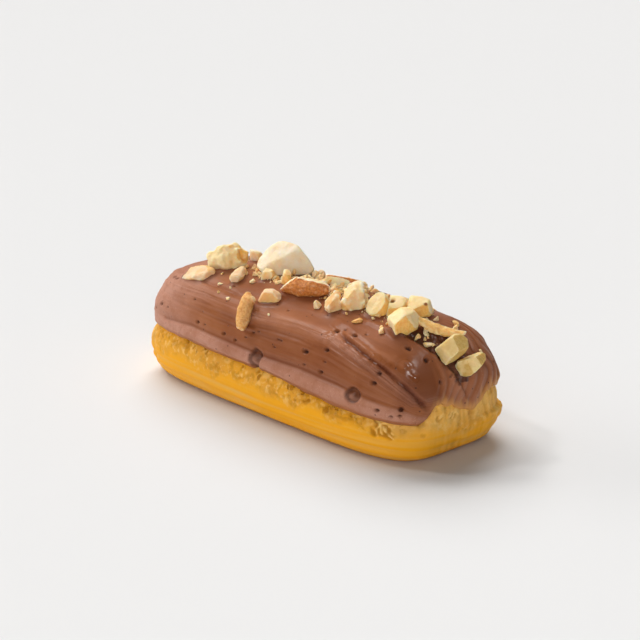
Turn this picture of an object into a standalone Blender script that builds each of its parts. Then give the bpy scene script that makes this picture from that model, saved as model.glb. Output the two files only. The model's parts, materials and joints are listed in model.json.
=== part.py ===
"""A chocolate eclair: a piped choux shell, a thick spread of milk chocolate icing and
a line of chopped nuts along the top.

+X runs along the eclair, towards its combed nose, and +Z is up. The origin lies on the
surface that the eclair rests on, below the middle of the shell. Lengths are in metres.
"""

import math
import random

import bmesh
import bpy
import numpy as np
from mathutils import Matrix, Vector, noise
from mathutils.bvhtree import BVHTree

MM = 0.001

# The body, with its icing and without the nuts
LENGTH = 115.0 * MM
WIDTH = 47.7 * MM
HEIGHT = 34.2 * MM
WIDEST_LEVEL = 9.9 * MM
UNDERCUT = 13.9 * MM
SPINE = (LENGTH - WIDTH) / 2
RISE = HEIGHT - WIDEST_LEVEL
PLAN_POWER = 4.64
SIDE_POWER = 2.79

# The icing's thickness, and the clearance between pieces that touch
ICING = 2.0 * MM
ICING_AT_EDGE = 1.1 * MM
ICING_TAPER = 6.0 * MM
LIP = 0.6 * MM
GAP = 0.3 * MM

# The mesh's fineness
COLUMNS = 96
ICING_RINGS = 15
COVERED_RINGS = 7
TOP_SPREAD = 0.1

# The icing's lower edge, as (degrees round the plan, height in mm). 0 degrees is the
# nose at +X and -90 the side that is seen first.
EDGE = (
    (-180, 15.2), (-150, 15.5), (-117, 16.0), (-100, 15.3), (-86, 15.4), (-68, 13.8),
    (-56, 12.7), (-40, 12.1), (-33, 11.9), (-28, 13.6), (-22, 16.4), (-14, 15.6),
    (0, 13.1), (11, 12.2), (24, 15.5), (36, 15.9), (60, 14.4), (85, 15.6), (110, 14.6),
    (135, 15.8), (160, 14.7),
)

# The icing's rim is drawn in round the blunt end, at -X
PINCH = 1.1 * MM
PINCH_LEVEL = 16.5 * MM
PINCH_REACH = 7.0 * MM
PINCH_TURN = math.radians(50)

# What the spatula left in the icing. Each stroke is (height, half width, step, route):
# a ridge where height is positive and a crease where it is negative, and a step by which
# the icing above the route stands out, which dies away over STEP_REACH. The first three
# are in mm, and a route is a row of (degrees round the plan, height in mm).
STEP_REACH = 7.0 * MM
LOW_CREASE = (-0.7, 1.1, 0.0, (
    (-172, 18.4), (-150, 19.2), (-128, 19.8), (-117, 21.0), (-102, 20.3), (-86, 19.9),
    (-71, 20.2), (-59, 19.4), (-49, 17.8), (-40, 16.8), (-28, 13.9)))
LOW_ROLL = (0.7, 2.4, 0.0, (
    (-172, 16.6), (-117, 18.4), (-86, 17.6), (-60, 16.4), (-46, 15.2), (-34, 13.7)))
LONG_RIDGE = (0.8, 3.0, 0.0, (
    (-160, 28.0), (-130, 29.0), (-117, 29.6), (-91, 28.6), (-75, 29.6), (-63, 29.0),
    (-50, 25.8), (-42, 21.6), (-36, 18.4)))
SWEPT_CREASE = (-0.9, 1.0, 0.7, (
    (-66, 30.9), (-57, 29.4), (-52, 27.9), (-45, 25.4), (-38, 22.0), (-32, 18.3),
    (-26, 15.4)))
NOSE_LIP = (0.55, 1.3, -0.8, (
    (-52, 33.3), (-39, 32.3), (-32, 31.4), (-24, 29.6), (-15, 26.2), (-7, 23.0),
    (-1, 19.0)))
FAR_LOW_CREASE = (-0.65, 1.2, 0.0, (
    (34, 17.4), (52, 19.0), (82, 20.6), (108, 19.3), (140, 20.1), (174, 18.4)))
FAR_LOW_ROLL = (0.65, 2.4, 0.0, (
    (38, 17.0), (62, 16.8), (86, 18.2), (112, 17.0), (142, 18.0), (174, 16.8)))
FAR_LONG_RIDGE = (0.8, 3.0, 0.0, (
    (46, 26.0), (60, 28.8), (92, 29.6), (122, 28.4), (150, 28.8)))
FAR_SWEPT_CREASE = (-0.7, 1.0, 0.5, (
    (108, 31.4), (122, 30.4), (134, 27.4), (142, 23.6), (150, 20.4)))
STROKES = (
    LOW_CREASE, LOW_ROLL, LONG_RIDGE, SWEPT_CREASE, NOSE_LIP,
    FAR_LOW_CREASE, FAR_LOW_ROLL, FAR_LONG_RIDGE, FAR_SWEPT_CREASE,
)

# The choux: lengthwise grooves of the piping nozzle, and a crag under the icing
GROOVE_PITCH = 2.7 * MM
GROOVE_DEPTH = 0.4 * MM
GROOVE_TOP = 8.6 * MM
CRAG_DEPTH = 0.5 * MM
CRAG_SCALE = 4.5 * MM
BASE_ROUND = 1.1 * MM
SHOULDER = 4.2 * MM
PIPED_LEVELS = (0.35, 1.1, 2.3, 3.6, 4.9, 6.2, 7.5, 8.7)

# The nuts, as name: (kind, x, y, length, width, height, yaw), in mm and degrees. Yaw
# turns the length away from +X.
NUTS = {
    "nut_slice_left": ("slice", -35.4, -13.0, 11.0, 5.6, 2.5, 6),
    "nut_clump": ("clump", -32.4, -4.9, 11.2, 7.4, 8.4, 48),
    "nut_pale_back": ("block", -31.2, 4.8, 3.8, 3.4, 3.2, 40),
    "nut_wedge": ("wedge", -17.2, 4.0, 12.2, 9.0, 8.0, 48),
    "nut_chip_oval": ("slice", -22.2, -9.2, 7.4, 3.2, 3.4, 116),
    "nut_cube_left": ("block", -14.4, -4.6, 3.7, 3.4, 2.9, 40),
    "nut_chip_pink": ("block", -6.4, -5.1, 3.4, 2.5, 4.0, -30),
    "nut_wedge_small": ("wedge", -3.5, -13.6, 5.8, 3.7, 3.1, 30),
    "nut_sliver_rice": ("sliver", -6.3, -19.5, 11.8, 4.4, 3.8, 110),
    "almond_skinned": ("half", 2.9, -6.9, 13.6, 6.6, 4.9, 14),
    "almond_slab": ("slab", 4.0, 7.8, 11.4, 4.4, 2.8, 42),
    "nut_chip_back": ("block", 16.0, 2.8, 3.8, 2.8, 2.2, 10),
    "nut_chunk_mid": ("block", 22.0, -6.3, 6.4, 4.7, 5.5, -40),
    "nut_chunk_brown": ("block", 18.6, -10.0, 4.6, 3.3, 3.6, -42),
    "nut_drum": ("drum", 29.6, -4.0, 4.1, 4.1, 5.5, 30),
    "nut_holed": ("block", 33.9, -0.9, 4.1, 4.3, 4.0, 40),
    "nut_cube_back": ("block", 38.4, 3.0, 6.8, 5.5, 4.3, 48),
    "nut_cube_front": ("block", 42.4, -6.6, 7.1, 5.2, 4.8, 62),
    "nut_flake": ("flake", 47.3, 0.4, 11.6, 4.4, 1.8, 44),
    "nut_cube_nose": ("block", 52.3, -0.7, 8.0, 4.9, 4.8, 99),
    "nut_slab_nose": ("block", 54.9, 3.8, 6.8, 3.4, 5.2, 108),
    "nut_far_cube": ("block", -36.0, 20.8, 6.2, 5.0, 3.2, 16),
    "nut_far_sliver": ("sliver", -12.0, 21.2, 9.6, 3.6, 3.0, -24),
    "almond_far": ("half", 14.0, 20.6, 9.8, 5.4, 3.0, 16),
    "nut_far_slice": ("slice", 25.0, 20.6, 8.2, 5.4, 2.2, -10),
}

# Small bits that stick to the icing, as (x, y, length, width, height, yaw)
BIT_SINK = 0.7 * MM
BIT_JITTER = 0.2
BITS = (
    (-19.7, -5.4, 2.3, 2.0, 1.9, 20),
    (13.3, -11.1, 3.2, 3.0, 3.0, 25),
    (29.2, -11.5, 3.6, 2.0, 1.8, 40),
    (38.9, -11.9, 4.2, 1.9, 1.9, 66),
    (-3.4, -1.2, 5.2, 2.2, 4.2, 10),
    (20.6, -0.6, 2.6, 2.4, 2.4, 10),
    (14.9, 8.6, 3.4, 2.2, 2.0, 30),
    (22.6, 6.2, 2.0, 2.2, 2.9, 50),
    (46.9, -6.8, 2.0, 1.9, 1.8, 60),
    (49.7, -5.7, 2.7, 2.1, 1.9, 30),
    (-26.1, -0.5, 2.0, 1.8, 1.7, 40),
    (-16.7, -9.2, 2.2, 1.9, 1.8, 70),
    (10.4, 2.2, 3.0, 2.2, 2.0, 50),
    (-10.9, -5.4, 2.2, 1.8, 1.7, 40),
    (-7.5, 6.3, 3.0, 2.4, 2.8, 80),
    (-5.0, 7.6, 3.4, 2.0, 3.2, -30),
    (-2.2, 2.6, 3.2, 2.6, 2.4, 20),
    (2.4, 0.4, 3.6, 2.6, 2.4, 60),
    (5.8, 2.2, 3.0, 2.4, 2.0, -20),
    (19.4, 6.8, 2.4, 2.0, 2.0, 15),
    (27.2, 4.4, 3.0, 2.4, 2.6, 70),
    (46.6, 8.0, 3.0, 2.2, 2.0, 5),
    (-26.4, 9.6, 2.8, 2.4, 2.0, 55),
    (-12.4, 13.0, 3.0, 2.2, 1.9, 70),
    (-29.8, 14.8, 2.6, 2.0, 1.8, 30),
    (20.6, 14.6, 2.8, 2.2, 1.9, 95),
    (2.6, 16.6, 2.6, 2.2, 2.0, 5),
)

# How a nut of each kind was chopped: the roundness of the whole nut beside the piece,
# the side that keeps its natural face, and the cuts as (degrees round, degrees up,
# distance as a share of the half size). CUT_JITTER turns each cut at random.
CUT_JITTER = 11
KINDS = {
    "block": (1.5, (1, 0, 0), (
        (180, 4, 1.0), (88, -6, 1.0), (-92, 8, 1.0), (20, 80, 1.0), (0, -90, 1.0))),
    "wedge": (1.45, (0, 1, 0), (
        (184, 38, 0.86), (2, 46, 0.86), (-88, 20, 0.92), (60, 82, 1.0), (0, -90, 1.0))),
    "slice": (1.2, (1, 0, 0), (
        (176, 6, 1.0), (60, 84, 0.72), (0, -90, 0.8), (-80, 20, 0.94))),
    "slab": (1.3, (1, 0, 0), ((180, 8, 1.0), (-86, 14, 1.0), (80, 82, 0.8), (0, -90, 0.9))),
    "half": (1.12, (0, -1, 0), (
        (100, 38, 0.7), (176, 20, 1.0), (70, 76, 0.86), (0, -90, 0.9))),
    "drum": (1.4, (0, 0, 1), ((205, 24, 0.9), (30, -10, 1.0), (110, 0, 1.0), (0, -90, 1.0))),
    "sliver": (1.1, (1, 0, 0), ((170, 10, 1.0), (84, 30, 0.85), (0, -90, 0.85))),
    "clump": (1.0, (0, 0, 1), ((0, -90, 0.62),)),
    "flake": (1.05, (1, 0, 0), ((172, 20, 0.95), (0, -90, 0.9))),
}
BIG_CHUNKS = ("nut_clump", "almond_skinned")
LUMP_HEIGHT = 0.26
LUMP_SCALE = 2.75 * MM
FLAKE_CURL = 1.6 * MM

# Colour, roughness
CHOUX_FINISH = ((0.72, 0.36, 0.06), 0.62)
ICING_FINISH = ((0.28, 0.11, 0.055), 0.38)
PALE_NUT = ((0.87, 0.66, 0.36), 0.55)
GOLD_NUT = ((0.72, 0.43, 0.17), 0.55)
SKIN_NUT = ((0.42, 0.17, 0.06), 0.6)
NUT_FINISHES = {
    "nut_clump": GOLD_NUT,
    "nut_chunk_brown": GOLD_NUT,
    "nut_sliver_rice": GOLD_NUT,
    "nut_flake": GOLD_NUT,
    "almond_skinned": SKIN_NUT,
    "almond_slab": SKIN_NUT,
    "almond_far": SKIN_NUT,
}


def clear_scene():
    """Remove every object of the scene."""
    for obj in list(bpy.data.objects):
        bpy.data.objects.remove(obj, do_unlink=True)


def smooth(share):
    """0 to 1, with no corner at either end."""
    share = np.clip(share, 0, 1)
    return share * share * (3 - 2 * share)


def around(knots, angle):
    """A value that runs smoothly round the plan through (degrees, value) knots."""
    knots = sorted((degrees % 360, value) for degrees, value in knots)
    knots = (
        [(degrees - 360, value) for degrees, value in knots[-2:]]
        + knots
        + [(degrees + 360, value) for degrees, value in knots[:2]]
    )
    at, value = np.array(knots).T
    slope = np.gradient(value, at)
    here = np.degrees(angle) % 360
    i = np.searchsorted(at, here, side="right") - 1
    step = at[i + 1] - at[i]
    t = (here - at[i]) / step
    return (
        (1 + 2 * t) * (1 - t) ** 2 * value[i]
        + t * (1 - t) ** 2 * step * slope[i]
        + t * t * (3 - 2 * t) * value[i + 1]
        + t * t * (t - 1) * step * slope[i + 1]
    )


def body_point(angle, turn, out):
    """A point of the body's side, at a plan angle and a turn up the side.

    The turn is 0 at the widest level, a quarter circle at the top and negative in the
    undercut. The point stands proud of the side by out, or below it where out is negative.
    """
    c, s = np.cos(angle), np.sin(angle)
    reach = (np.abs(c) ** PLAN_POWER + np.abs(s) ** PLAN_POWER) ** (-1 / PLAN_POWER)
    height = np.abs(np.sin(turn)) ** (2 / SIDE_POWER)
    side = np.cos(turn) ** (2 / SIDE_POWER) * (WIDTH / 2 + out)
    level = np.where(turn >= 0, height * (RISE + out), -height * UNDERCUT)
    x, y, z = (SPINE + side) * reach * c, side * reach * s, WIDEST_LEVEL + level
    return np.stack(np.broadcast_arrays(x, y, z), axis=-1)


def turn_at(level):
    """The turn at which the side reaches a level."""
    above = np.clip((level - WIDEST_LEVEL) / RISE, 0, 1) ** (SIDE_POWER / 2)
    below = np.clip((WIDEST_LEVEL - level) / UNDERCUT, 0, 1) ** (SIDE_POWER / 2)
    return np.arcsin(above) - np.arcsin(below)


def run_along(points):
    """The distance run at each point of a line."""
    steps = np.linalg.norm(np.diff(points, axis=0), axis=1)
    return np.concatenate([[0.0], np.cumsum(steps)])


TOP_TURN = math.acos(TOP_SPREAD ** (SIDE_POWER / 2))
TURN_TABLE = np.linspace(0, TOP_TURN, 400)
CLIMB_TABLE = run_along(body_point(-math.pi / 2, TURN_TABLE, 0.0))


def climb_at(turn):
    """The distance up the side from the widest level."""
    return np.interp(turn, TURN_TABLE, CLIMB_TABLE)


def turn_after(climb):
    """The turn that a distance up the side leads to."""
    return np.interp(climb, CLIMB_TABLE, TURN_TABLE)


def column_angles(count):
    """Plan angles that stand evenly along the outline, from the nose round to the nose."""
    fine = np.linspace(0, 2 * math.pi, 7201)
    run = run_along(body_point(fine, 0.0, 0.0))
    return np.interp(np.arange(count) * run[-1] / count, run, fine)


def lumps(points, scale, seed):
    """Smooth noise of about -1 to 1 at each point."""
    shift = Vector((seed * 7.31, seed * 3.17, seed * 1.73))
    flat = points.reshape(-1, 3) / scale
    values = [noise.noise(Vector(point) + shift) for point in flat]
    return np.array(values).reshape(points.shape[:-1])


def route_offset(points, route):
    """The distance from each point to a route, and how far above it the point lies."""
    degrees, level = np.array(route).T
    knots = body_point(np.radians(degrees), turn_at(level * MM), 0.0)
    nearest = np.full(points.shape[:-1], np.inf)
    above = np.zeros(points.shape[:-1])
    for start, end in zip(knots[:-1], knots[1:]):
        run = end - start
        share = np.clip((points - start) @ run / (run @ run), 0, 1)
        offset = points - (start + share[..., None] * run)
        distance = np.linalg.norm(offset, axis=-1)
        outward = start * (0.3, 1.0, 0.0) + (0.0, 0.0, start[2] - WIDEST_LEVEL)
        upward = np.cross(outward, run)
        upward *= np.sign(upward[2]) / np.linalg.norm(upward)
        closer = distance < nearest
        nearest = np.where(closer, distance, nearest)
        above = np.where(closer, offset @ upward, above)
    return nearest, above


def icing_relief(angle, turn):
    """How far the spatula's ridges and creases stand out of the body's side."""
    points = body_point(angle, turn, 0.0)
    relief = 0.25 * MM * lumps(points, 9 * MM, 3)
    for height, half_width, step, route in STROKES:
        distance, above = route_offset(points, route)
        relief += height * MM * np.exp(-((distance / (half_width * MM)) ** 2))
        fade = smooth(above / MM) * (1 - smooth(distance / STEP_REACH))
        relief += step * MM * fade
    climb = climb_at(turn) - climb_at(turn_at(around(EDGE, angle) * MM))
    return relief * smooth(0.15 + climb / (2.5 * MM))


def icing_thickness(climb):
    """The icing's thickness at a distance up from its lower edge."""
    return ICING_AT_EDGE + (ICING - ICING_AT_EDGE) * smooth(climb / ICING_TAPER)


def crust_relief(points):
    """How far the choux lies below the body's side, outside the icing."""
    level = points[..., 2]
    wander = 0.35 * lumps(points, 40 * MM, 8)
    wave = 0.5 - 0.5 * np.cos(2 * math.pi * (level / GROOVE_PITCH + wander))
    piped = smooth((GROOVE_TOP - level) / GROOVE_PITCH)
    craggy = smooth((level - WIDEST_LEVEL) / (2 * MM))
    dents = np.abs(lumps(points, CRAG_SCALE, 5))
    return -GROOVE_DEPTH * wave * piped - 2 * CRAG_DEPTH * dents * craggy


def closed_mesh(name, rings):
    """A closed object from rings of points, each end filled across its narrow way."""
    count = len(rings[0])
    half = count // 2
    mesh = bmesh.new()
    verts = [[mesh.verts.new(point) for point in ring] for ring in rings]
    faces = []
    for lower, upper in zip(verts[:-1], verts[1:]):
        for j in range(count):
            k = (j + 1) % count
            faces.append((lower[j], lower[k], upper[k], upper[j]))
    for ring, order in ((verts[0], -1), (verts[-1], 1)):
        faces.append((ring[0], ring[1], ring[-1])[::order])
        faces.append((ring[half - 1], ring[half], ring[half + 1])[::order])
        for j in range(1, half - 1):
            faces.append((ring[j], ring[j + 1], ring[-j - 1], ring[-j])[::order])
    for face in faces:
        mesh.faces.new(face)
    bmesh.ops.triangulate(mesh, faces=mesh.faces[:])
    bmesh.ops.recalc_face_normals(mesh, faces=mesh.faces[:])
    return mesh_object(name, mesh)


def mesh_object(name, mesh):
    """A scene object from a bmesh, which it frees."""
    data = bpy.data.meshes.new(name)
    mesh.to_mesh(data)
    mesh.free()
    data.shade_smooth()
    data.set_sharp_from_angle(angle=math.radians(40))
    obj = bpy.data.objects.new(name, data)
    bpy.context.scene.collection.objects.link(obj)
    return obj


def paint(obj, finish):
    """Give an object its own Principled material, as ((red, green, blue), roughness)."""
    colour, roughness = finish
    material = bpy.data.materials.new(f"{obj.name}_finish")
    material.use_nodes = True
    shader = material.node_tree.nodes["Principled BSDF"]
    shader.inputs["Base Color"].default_value = (*colour, 1.0)
    shader.inputs["Roughness"].default_value = roughness
    shader.inputs["Metallic"].default_value = 0.0
    material.diffuse_color = (*colour, 1.0)
    obj.data.materials.append(material)


def pinch(angle, turn):
    """How far the side is drawn in by the rim round the blunt end."""
    from_end = np.abs((angle % (2 * math.pi)) - math.pi)
    level = body_point(angle, turn, 0.0)[..., 2]
    near = smooth(1 - np.abs(level - PINCH_LEVEL) / PINCH_REACH)
    return -PINCH * near * smooth(1.5 - from_end / PINCH_TURN)


def side_ring(angles, turn, out):
    """One ring of the body's side, drawn in at the blunt end."""
    return body_point(angles, turn, out + pinch(angles, turn))


def covered_turns(edge_level):
    """Rows of turns from just above the icing's edge to the top, under the icing."""
    low = climb_at(turn_at(edge_level))
    shares = np.arange(1, COVERED_RINGS + 1) / COVERED_RINGS
    return [turn_after(low + share * (CLIMB_TABLE[-1] - low)) for share in shares]


def build_choux(angles, edge_level):
    """The choux shell, flat below and drawn in under the icing."""
    base = turn_at(np.zeros(COLUMNS))
    rings = [body_point(angles, base, -BASE_ROUND)]
    for level in PIPED_LEVELS:
        turn = turn_at(np.full(COLUMNS, level * MM))
        rings.append(body_point(angles, turn, crust_relief(body_point(angles, turn, 0.0))))
    rings.append(body_point(angles, turn_at(np.full(COLUMNS, WIDEST_LEVEL)), 0.0))
    inset = ICING_AT_EDGE + GAP
    shoulder = np.minimum(SHOULDER, edge_level - WIDEST_LEVEL - 0.4 * MM)
    for share in (0.0, 0.55, 1.0):
        turn = turn_at(edge_level - (1 - share) * shoulder)
        relief = crust_relief(body_point(angles, turn, 0.0)) * (1 - share)
        rings.append(side_ring(angles, turn, relief - inset * share**1.6))
    low = climb_at(turn_at(edge_level))
    for turn in covered_turns(edge_level):
        rings.append(side_ring(angles, turn, -icing_thickness(climb_at(turn) - low) - GAP))
    shell = closed_mesh("choux_shell", rings)
    paint(shell, CHOUX_FINISH)
    return shell


def build_icing(angles, edge_level):
    """The icing: its inner face from the top down, its lip, and its spread face."""
    low = climb_at(turn_at(edge_level))
    rings = [
        side_ring(angles, turn, -icing_thickness(climb_at(turn) - low))
        for turn in covered_turns(edge_level)[::-1]
    ]
    for rise, depth in ((1 / 2, 1.0), (0.0, 0.7), (1 / 6, 0.25)):
        rings.append(side_ring(angles, turn_at(edge_level + rise * LIP), -depth * ICING_AT_EDGE))
    start = climb_at(turn_at(edge_level + LIP))
    for share in np.arange(ICING_RINGS + 1) / ICING_RINGS:
        turn = turn_after(start + share * (CLIMB_TABLE[-1] - start))
        rings.append(side_ring(angles, turn, icing_relief(angles, turn)))
    icing = closed_mesh("chocolate_icing", rings)
    paint(icing, ICING_FINISH)
    return icing


def chopped(kind, size, seed, fineness):
    """A chopped piece of nut as a bmesh, its base below its middle."""
    draw = random.Random(seed)
    roundness, natural_side, cuts = KINDS[kind]
    half = Vector(size) / 2
    mesh = bmesh.new()
    bmesh.ops.create_icosphere(mesh, subdivisions=fineness, radius=1.0)
    shift = Vector(natural_side) * (1 - roundness)
    for vert in mesh.verts:
        if kind == "clump":
            vert.co *= 1 + LUMP_HEIGHT * noise.noise(vert.co * half.x / LUMP_SCALE)
        vert.co = Vector((vert.co * roundness + shift)[i] * half[i] for i in range(3))
    for round_degrees, up_degrees, share in cuts:
        spread = 0 if up_degrees == -90 else CUT_JITTER
        yaw = math.radians(round_degrees + draw.uniform(-spread, spread))
        pitch = math.radians(up_degrees + draw.uniform(-spread, spread))
        level = math.cos(pitch)
        facing = Vector((level * math.cos(yaw), level * math.sin(yaw), math.sin(pitch)))
        distance = share * Vector(facing[i] * half[i] for i in range(3)).length
        cut_off(mesh, facing * distance, facing)
    if kind == "flake":
        for vert in mesh.verts:
            vert.co.z += FLAKE_CURL * ((vert.co.x / half.x) ** 2 - 0.3 * vert.co.y / half.y)
    bmesh.ops.triangulate(mesh, faces=mesh.faces[:])
    bmesh.ops.recalc_face_normals(mesh, faces=mesh.faces[:])
    return mesh


def grain(size, seed):
    """A small uneven bit of nut as a bmesh."""
    draw = random.Random(seed)
    mesh = bmesh.new()
    bmesh.ops.create_icosphere(mesh, subdivisions=1, radius=0.5)
    for vert in mesh.verts:
        swell = 1 + draw.uniform(-BIT_JITTER, BIT_JITTER)
        vert.co = Vector(vert.co[i] * size[i] * swell for i in range(3))
    return mesh


def cut_off(mesh, point, facing):
    """Slice away what lies beyond a plane, and close the cut."""
    everything = mesh.verts[:] + mesh.edges[:] + mesh.faces[:]
    cut = bmesh.ops.bisect_plane(
        mesh, geom=everything, dist=1e-7, plane_co=point, plane_no=facing, clear_outer=True
    )
    rim = [item for item in cut["geom_cut"] if isinstance(item, bmesh.types.BMEdge)]
    if rim:
        bmesh.ops.contextual_create(mesh, geom=rim)
    bmesh.ops.remove_doubles(mesh, verts=mesh.verts[:], dist=0.08 * MM)
    bmesh.ops.dissolve_degenerate(mesh, edges=mesh.edges[:], dist=0.02 * MM)


def standing_frame(tree, x, y, yaw_degrees):
    """Where the icing's face is at (x, y), with +Z out of it and +X along the yaw."""
    probe = 1.2 * MM
    over = Vector((0, 0, 2 * HEIGHT))

    def top(dx, dy):
        return tree.ray_cast(Vector((x + dx, y + dy, 0)) + over, Vector((0, 0, -1)))[0]

    along = top(probe, 0) - top(-probe, 0)
    across = top(0, probe) - top(0, -probe)
    normal = along.cross(across).normalized()
    side = normal.cross(along.normalized())
    yaw = math.radians(yaw_degrees)
    length = along.normalized() * math.cos(yaw) + side * math.sin(yaw)
    frame = Matrix((length, normal.cross(length), normal)).transposed().to_4x4()
    frame.translation = top(0, 0)
    return frame


def clearance(mesh, trees):
    """The smallest distance from a mesh to the surfaces, or 0 where it crosses one."""
    own = BVHTree.FromBMesh(mesh)
    smallest = math.inf
    for tree, points in trees:
        if own.overlap(tree):
            return 0.0
        for vert in mesh.verts:
            smallest = min(smallest, tree.find_nearest(vert.co)[3])
        for point in points:
            hit = own.find_nearest(point, 2 * MM)
            if hit[0] is not None:
                smallest = min(smallest, hit[3])
    return smallest


def surface(mesh):
    """A mesh's search tree and its points."""
    return BVHTree.FromBMesh(mesh), [vert.co.copy() for vert in mesh.verts]


def surface_of(obj):
    """An object's search tree and its points."""
    mesh = bmesh.new()
    mesh.from_mesh(obj.data)
    result = surface(mesh)
    mesh.free()
    return result


def press_in_bits(icing):
    """Fuse the small bits of nut to the icing that they stick to."""
    tree = surface_of(icing)[0]
    bits = bpy.data.collections.new("bits")
    bpy.context.scene.collection.children.link(bits)
    for number, (x, y, length, width, height, yaw) in enumerate(BITS):
        size = (length * MM, width * MM, height * MM)
        mesh = grain(size, number)
        lift = Matrix.Translation((0, 0, size[2] / 2 - BIT_SINK))
        mesh.transform(standing_frame(tree, x * MM, y * MM, yaw) @ lift)
        bit = mesh_object(f"bit_{number}", mesh)
        bpy.context.scene.collection.objects.unlink(bit)
        bits.objects.link(bit)
    union = icing.modifiers.new("bits", "BOOLEAN")
    union.operation = "UNION"
    union.operand_type = "COLLECTION"
    union.collection = bits
    union.solver = "EXACT"
    graph = bpy.context.evaluated_depsgraph_get()
    fused = bpy.data.meshes.new_from_object(icing.evaluated_get(graph))
    icing.modifiers.remove(union)
    icing.data = fused
    icing.data.name = icing.name
    for bit in list(bits.objects):
        bpy.data.objects.remove(bit, do_unlink=True)
    bpy.data.collections.remove(bits)


def scatter_nuts(icing):
    """The larger pieces of nut, each settled on the icing and clear of its neighbours."""
    icing_surface = surface_of(icing)
    settled = [icing_surface]
    for number, (name, row) in enumerate(NUTS.items()):
        kind, x, y, length, width, height, yaw = row
        size = (length * MM, width * MM, height * MM)
        mesh = chopped(kind, size, 20 + number, fineness=3 if name in BIG_CHUNKS else 2)
        frame = standing_frame(icing_surface[0], x * MM, y * MM, yaw)
        lowest = min(vert.co.z for vert in mesh.verts)
        mesh.transform(frame @ Matrix.Translation((0, 0, -lowest)))
        outward = frame.to_3x3() @ Vector((0, 0, 1))
        while clearance(mesh, settled) < GAP:
            mesh.transform(Matrix.Translation(outward * GAP / 4))
        settled.append(surface(mesh))
        nut = mesh_object(name, mesh)
        paint(nut, NUT_FINISHES.get(name, PALE_NUT))


def main():
    clear_scene()
    angles = column_angles(COLUMNS)
    edge_level = around(EDGE, angles) * MM
    build_choux(angles, edge_level)
    icing = build_icing(angles, edge_level)
    press_in_bits(icing)
    scatter_nuts(icing)


main()
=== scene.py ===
"""A chocolate eclair, dressed: baked choux, spread milk chocolate icing and chopped nuts.

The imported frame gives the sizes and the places. The icing and the choux follow the same
form as their solids, the nuts are the solids themselves with their broken faces worked
over, and the small bits and crumbs are scattered on the icing. Lengths are in metres, +X
runs towards the combed nose and -Y is the side that is seen first.
"""

import json
import logging
import math
from dataclasses import dataclass, field
from enum import Enum
from itertools import product

import bmesh
import bpy
import numpy as np
from mathutils import Matrix, Vector, noise
from mathutils.bvhtree import BVHTree


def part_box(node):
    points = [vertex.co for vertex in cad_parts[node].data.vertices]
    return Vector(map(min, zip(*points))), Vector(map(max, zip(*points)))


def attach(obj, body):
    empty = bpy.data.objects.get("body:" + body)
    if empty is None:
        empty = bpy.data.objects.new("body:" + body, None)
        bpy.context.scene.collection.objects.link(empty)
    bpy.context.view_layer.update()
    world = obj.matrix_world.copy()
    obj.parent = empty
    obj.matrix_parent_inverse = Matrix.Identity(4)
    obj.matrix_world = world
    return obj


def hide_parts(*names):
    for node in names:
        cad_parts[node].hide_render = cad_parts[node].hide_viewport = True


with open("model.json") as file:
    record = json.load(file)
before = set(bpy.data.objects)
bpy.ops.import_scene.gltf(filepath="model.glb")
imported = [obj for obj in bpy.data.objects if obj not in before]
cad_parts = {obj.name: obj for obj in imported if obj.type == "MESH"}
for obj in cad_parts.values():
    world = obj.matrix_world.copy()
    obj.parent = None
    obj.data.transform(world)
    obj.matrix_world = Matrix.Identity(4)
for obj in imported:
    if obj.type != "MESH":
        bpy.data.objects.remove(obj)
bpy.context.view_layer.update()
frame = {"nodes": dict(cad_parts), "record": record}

Array = np.ndarray
Colour = tuple[float, float, float]
Place = tuple[float, float, float]
Span = tuple[float, float]
Row = tuple[float, ...]
Knots = tuple[Span, ...]
Object = bpy.types.Object
Mesh = bpy.types.Mesh
Material = bpy.types.Material
Node = bpy.types.Node
Socket = bpy.types.NodeSocket

MM = 0.001
LATTICE = 256
NOISE_GAIN = 1.6
ROUGH_SPAN = 1.5
BODY = "root"
log = logging.getLogger("eclair")


def smooth(share: Array) -> Array:
    """Ease a share from 0 to 1, clipped there, with no corner at either end."""
    share = np.clip(share, 0, 1)
    return share * share * (3 - 2 * share)


def fade_in(value: Array, start: Array | float, reach: float) -> Array:
    """Ease from 0 at a start to 1 a reach beyond it."""
    return smooth((value - start) / reach)


def fade_out(value: Array, end: Array | float, reach: float) -> Array:
    """Ease from 1 a reach before an end to 0 at it."""
    return smooth((end - value) / reach)


def within(value: Array, span: Span, fades: Span) -> Array:
    """1 inside a span, and eased to 0 at each of its ends."""
    return fade_in(value, span[0], fades[0]) * fade_out(value, span[1], fades[1])


def bell(offset: Array, half_width: float) -> Array:
    """A bump that is 1 high in its middle, and 0.37 at its half width."""
    return np.exp(-((offset / half_width) ** 2))


def lengths(vectors: Array) -> Array:
    """The length of each vector."""
    return np.linalg.norm(vectors, axis=-1)


def grain_noise(points: Array, scale: float, seed: int) -> Array:
    """Smooth lattice noise, quick for many points.

    Args:
        points: Points, in the last axis.
        scale: The size of one lattice cell.
        seed: Picks the pattern.

    Returns:
        Noise of about -1 to 1 at each point.
    """
    draw = np.random.default_rng(seed)
    table = draw.normal(size=(LATTICE, 3))
    table /= lengths(table)[:, None]
    order = draw.permutation(LATTICE)
    place = points / scale
    cell = np.floor(place).astype(np.int64)
    part = place - cell
    fade = part**3 * (part * (part * 6 - 15) + 10)
    total = np.zeros(points.shape[:-1])
    for corner in product((0, 1), repeat=3):
        x, y, z = np.moveaxis((cell + corner) % LATTICE, -1, 0)
        gradient = table[order[(order[(order[x] + y) % LATTICE] + z) % LATTICE]]
        weight = np.prod(np.where(corner, fade, 1 - fade), axis=-1)
        total += weight * np.sum(gradient * (part - corner), axis=-1)
    return total * NOISE_GAIN


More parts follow.
